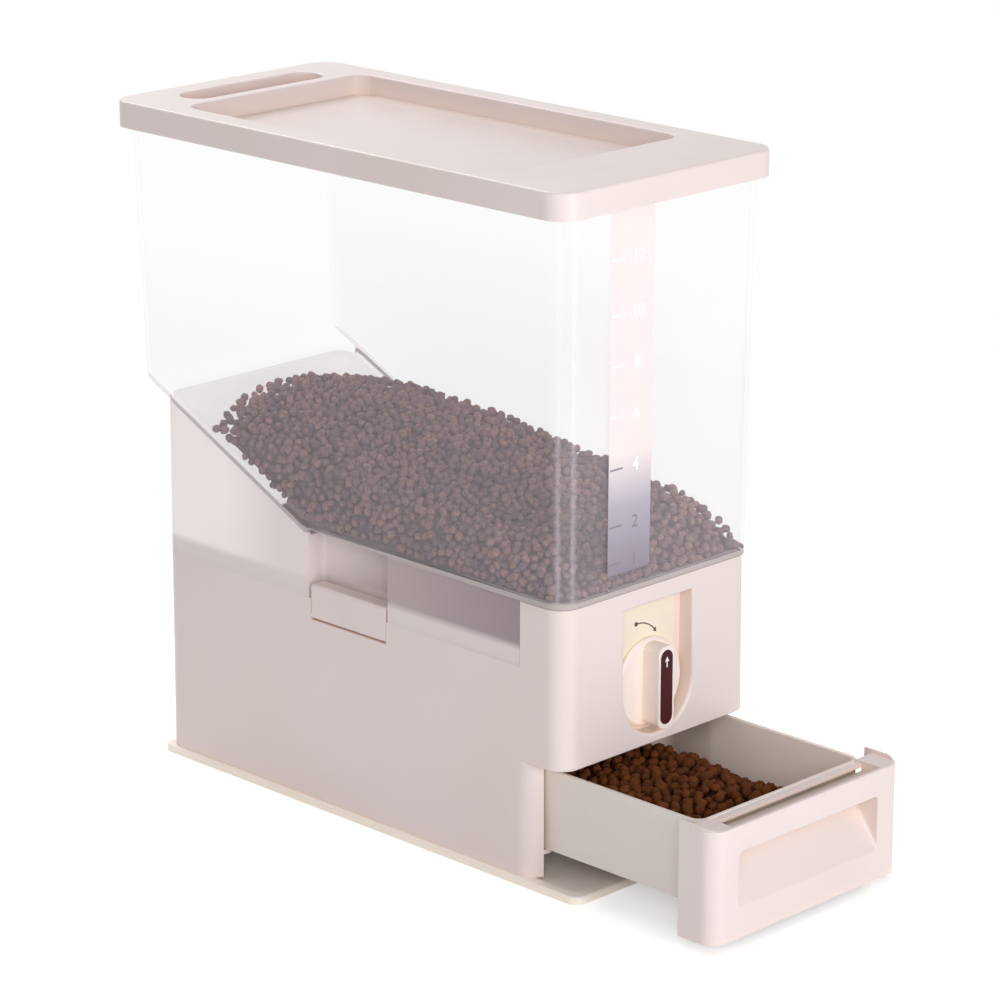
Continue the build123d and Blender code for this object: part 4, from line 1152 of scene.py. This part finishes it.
class CONTAINER_OT_dial_print(bpy.types.Operator):
    """Adds the dot and the turning arrow to the plate behind the knob"""

    bl_idname = "container.dial_print"
    bl_label = "Add the dial print"

    def execute(self, context):
        centre = Vector((DIAL_CENTRE[0], DIAL[0][1] - 0.0001, DIAL_CENTRE[1]))

        def on_arc(turn, reach=0.0):
            """A point on the arc, at a turn from upright to the right."""
            far = DIAL_RADIUS + reach
            return centre + Vector((math.sin(turn) * far, 0.0, math.cos(turn) * far))

        deselect()
        bpy.ops.mesh.primitive_circle_add(
            vertices=20, radius=DIAL_DOT, fill_type="NGON", rotation=UPRIGHT,
            location=on_arc(DIAL_START),
        )
        dot = settle(bpy.context.object, "dial_dot")
        deselect()
        bpy.ops.mesh.primitive_plane_add(size=0.001, rotation=UPRIGHT)
        arc = settle(bpy.context.object, "dial_arc")
        for vertex in arc.data.vertices:
            reach = DIAL_LINE / 2.0 if vertex.co.z > 0.0 else -DIAL_LINE / 2.0
            vertex.co = on_arc(DIAL_START, reach)
        outward(arc)
        bpy.ops.object.mode_set(mode="EDIT")
        bpy.ops.mesh.select_all(action="SELECT")
        bpy.ops.mesh.spin(
            steps=16, angle=DIAL_END - DIAL_START, center=centre, axis=(0, -1, 0)
        )
        bpy.ops.object.mode_set(mode="OBJECT")
        deselect()
        bpy.ops.mesh.primitive_circle_add(
            vertices=3, radius=DIAL_HEAD, fill_type="NGON",
            rotation=(math.pi / 2.0, DIAL_END + math.radians(96), 0.0),
            location=on_arc(DIAL_END + 0.02),
        )
        head = settle(bpy.context.object, "dial_head")
        sign = join("dial_print", [dot, arc, head])
        outward(sign)
        thicken(sign, 0.00008)
        sign.data.materials.clear()
        sign.data.materials.append(printed("Dial ink", (0.10, 0.045, 0.045)))
        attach(sign, "base")
        return {"FINISHED"}


class CONTAINER_OT_knob_arrow(bpy.types.Operator):
    """Adds the small pointer arrow near the top of the knob's insert"""

    bl_idname = "container.knob_arrow"
    bl_label = "Add the pointer arrow"

    def execute(self, context):
        face = INSERT[0][1] - 0.00005
        top = INSERT[1][2] - ARROW_DROP
        deselect()
        bpy.ops.mesh.primitive_circle_add(
            vertices=3, radius=ARROW_HEAD, fill_type="NGON", rotation=UPRIGHT,
            location=(0.0, face, top - 0.0022),
        )
        head = settle(bpy.context.object, "arrow_head")
        deselect()
        bpy.ops.mesh.primitive_plane_add(
            size=1.0, rotation=UPRIGHT, location=(0.0, face, top - 0.0050)
        )
        stem = bpy.context.object
        stem.scale = (*ARROW_STEM, 1.0)
        settle(stem, "arrow_stem")
        arrow = join("knob_arrow", [head, stem])
        outward(arrow)
        thicken(arrow, 0.00006)
        arrow.data.materials.clear()
        arrow.data.materials.append(printed("White ink", (0.80, 0.76, 0.74)))
        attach(arrow, "dispenser")
        return {"FINISHED"}


class CONTAINER_OT_hopper_food(bpy.types.Operator):
    """Heaps dry food in the hopper"""

    bl_idname = "container.hopper_food"
    bl_label = "Fill the hopper"

    def execute(self, context):
        food = context.scene.container_food
        # The hopper's pellets take a paler painted light, with painted shade between them
        tones = (tuple(food.dusty), tuple(food.gaps))
        fill(
            "hopper_food", "base", hopper_inside, hopper_floor, hopper_level, food.small, tones,
            tries=26000, shift=0,
        )
        return {"FINISHED"}


class CONTAINER_OT_drawer_food(bpy.types.Operator):
    """Heaps dry food in the drawer"""

    bl_idname = "container.drawer_food"
    bl_label = "Fill the drawer"

    def execute(self, context):
        food = context.scene.container_food
        tones = (tuple(food.brown), tuple(food.dark))
        fill(
            "drawer_food", "drawer", bin_inside, bin_floor, drawer_level, food.large, tones,
            tries=8000, shift=1,
        )
        return {"FINISHED"}


class CONTAINER_OT_stage(bpy.types.Operator):
    """Adds the floor, the soft lamps, the white surround and the camera"""

    bl_idname = "container.stage"
    bl_label = "Set the studio"

    def execute(self, context):
        studio = context.scene.container_studio
        scene = context.scene
        studio_floor()
        studio_surround(scene, studio.fill)
        for name, place, size, watts in (
            ("front_lamp", (-0.1, -2.5, 0.45), 1.2, studio.front),
            ("side_lamp", (-1.71, -1.70, 1.17), 1.0, studio.side),
            ("back_lamp", (0.25, 1.15, 1.75), 1.4, studio.back),
        ):
            studio_lamp(scene, name, place, size, watts)
        studio_camera(scene, studio)
        scene.view_settings.view_transform = "Standard"
        return {"FINISHED"}


STEPS = (
    CONTAINER_OT_stage,
    CONTAINER_OT_plastics,
    CONTAINER_OT_hardware,
    CONTAINER_OT_hopper,
    CONTAINER_OT_fill_scale,
    CONTAINER_OT_dial_print,
    CONTAINER_OT_knob_arrow,
    CONTAINER_OT_hopper_food,
    CONTAINER_OT_drawer_food,
)
SETTINGS = {
    "container_plastic": PlasticSettings,
    "container_hopper": HopperSettings,
    "container_scale": ScaleSettings,
    "container_food": FoodSettings,
    "container_studio": StudioSettings,
}


class CONTAINER_PT_panel(bpy.types.Panel):
    """Steps that dress the container"""

    bl_idname = "CONTAINER_PT_panel"
    bl_label = "Food Container"
    bl_space_type = "VIEW_3D"
    bl_region_type = "UI"
    bl_category = "Food Container"

    def draw(self, context):
        for step in STEPS:
            self.layout.operator(step.bl_idname)
        for name, kind in SETTINGS.items():
            box = self.layout.box()
            box.label(text=kind.__name__)
            for key in kind.__annotations__:
                box.prop(getattr(context.scene, name), key)


def register():
    """Registers the settings, the operators and the panel."""
    for name, kind in SETTINGS.items():
        bpy.utils.register_class(kind)
        setattr(bpy.types.Scene, name, PointerProperty(type=kind))
    for kind in (*STEPS, CONTAINER_PT_panel):
        bpy.utils.register_class(kind)


def unregister():
    """Takes the panel, the operators and the settings out again."""
    for kind in reversed((*STEPS, CONTAINER_PT_panel)):
        bpy.utils.unregister_class(kind)
    for name, kind in SETTINGS.items():
        delattr(bpy.types.Scene, name)
        bpy.utils.unregister_class(kind)


def main():
    """Dresses the container."""
    register()
    for step in STEPS:
        group, name = step.bl_idname.split(".")
        if getattr(getattr(bpy.ops, group), name)() != {"FINISHED"}:
            raise RuntimeError(step.bl_idname + " did not finish")


if __name__ == "__main__":
    main()
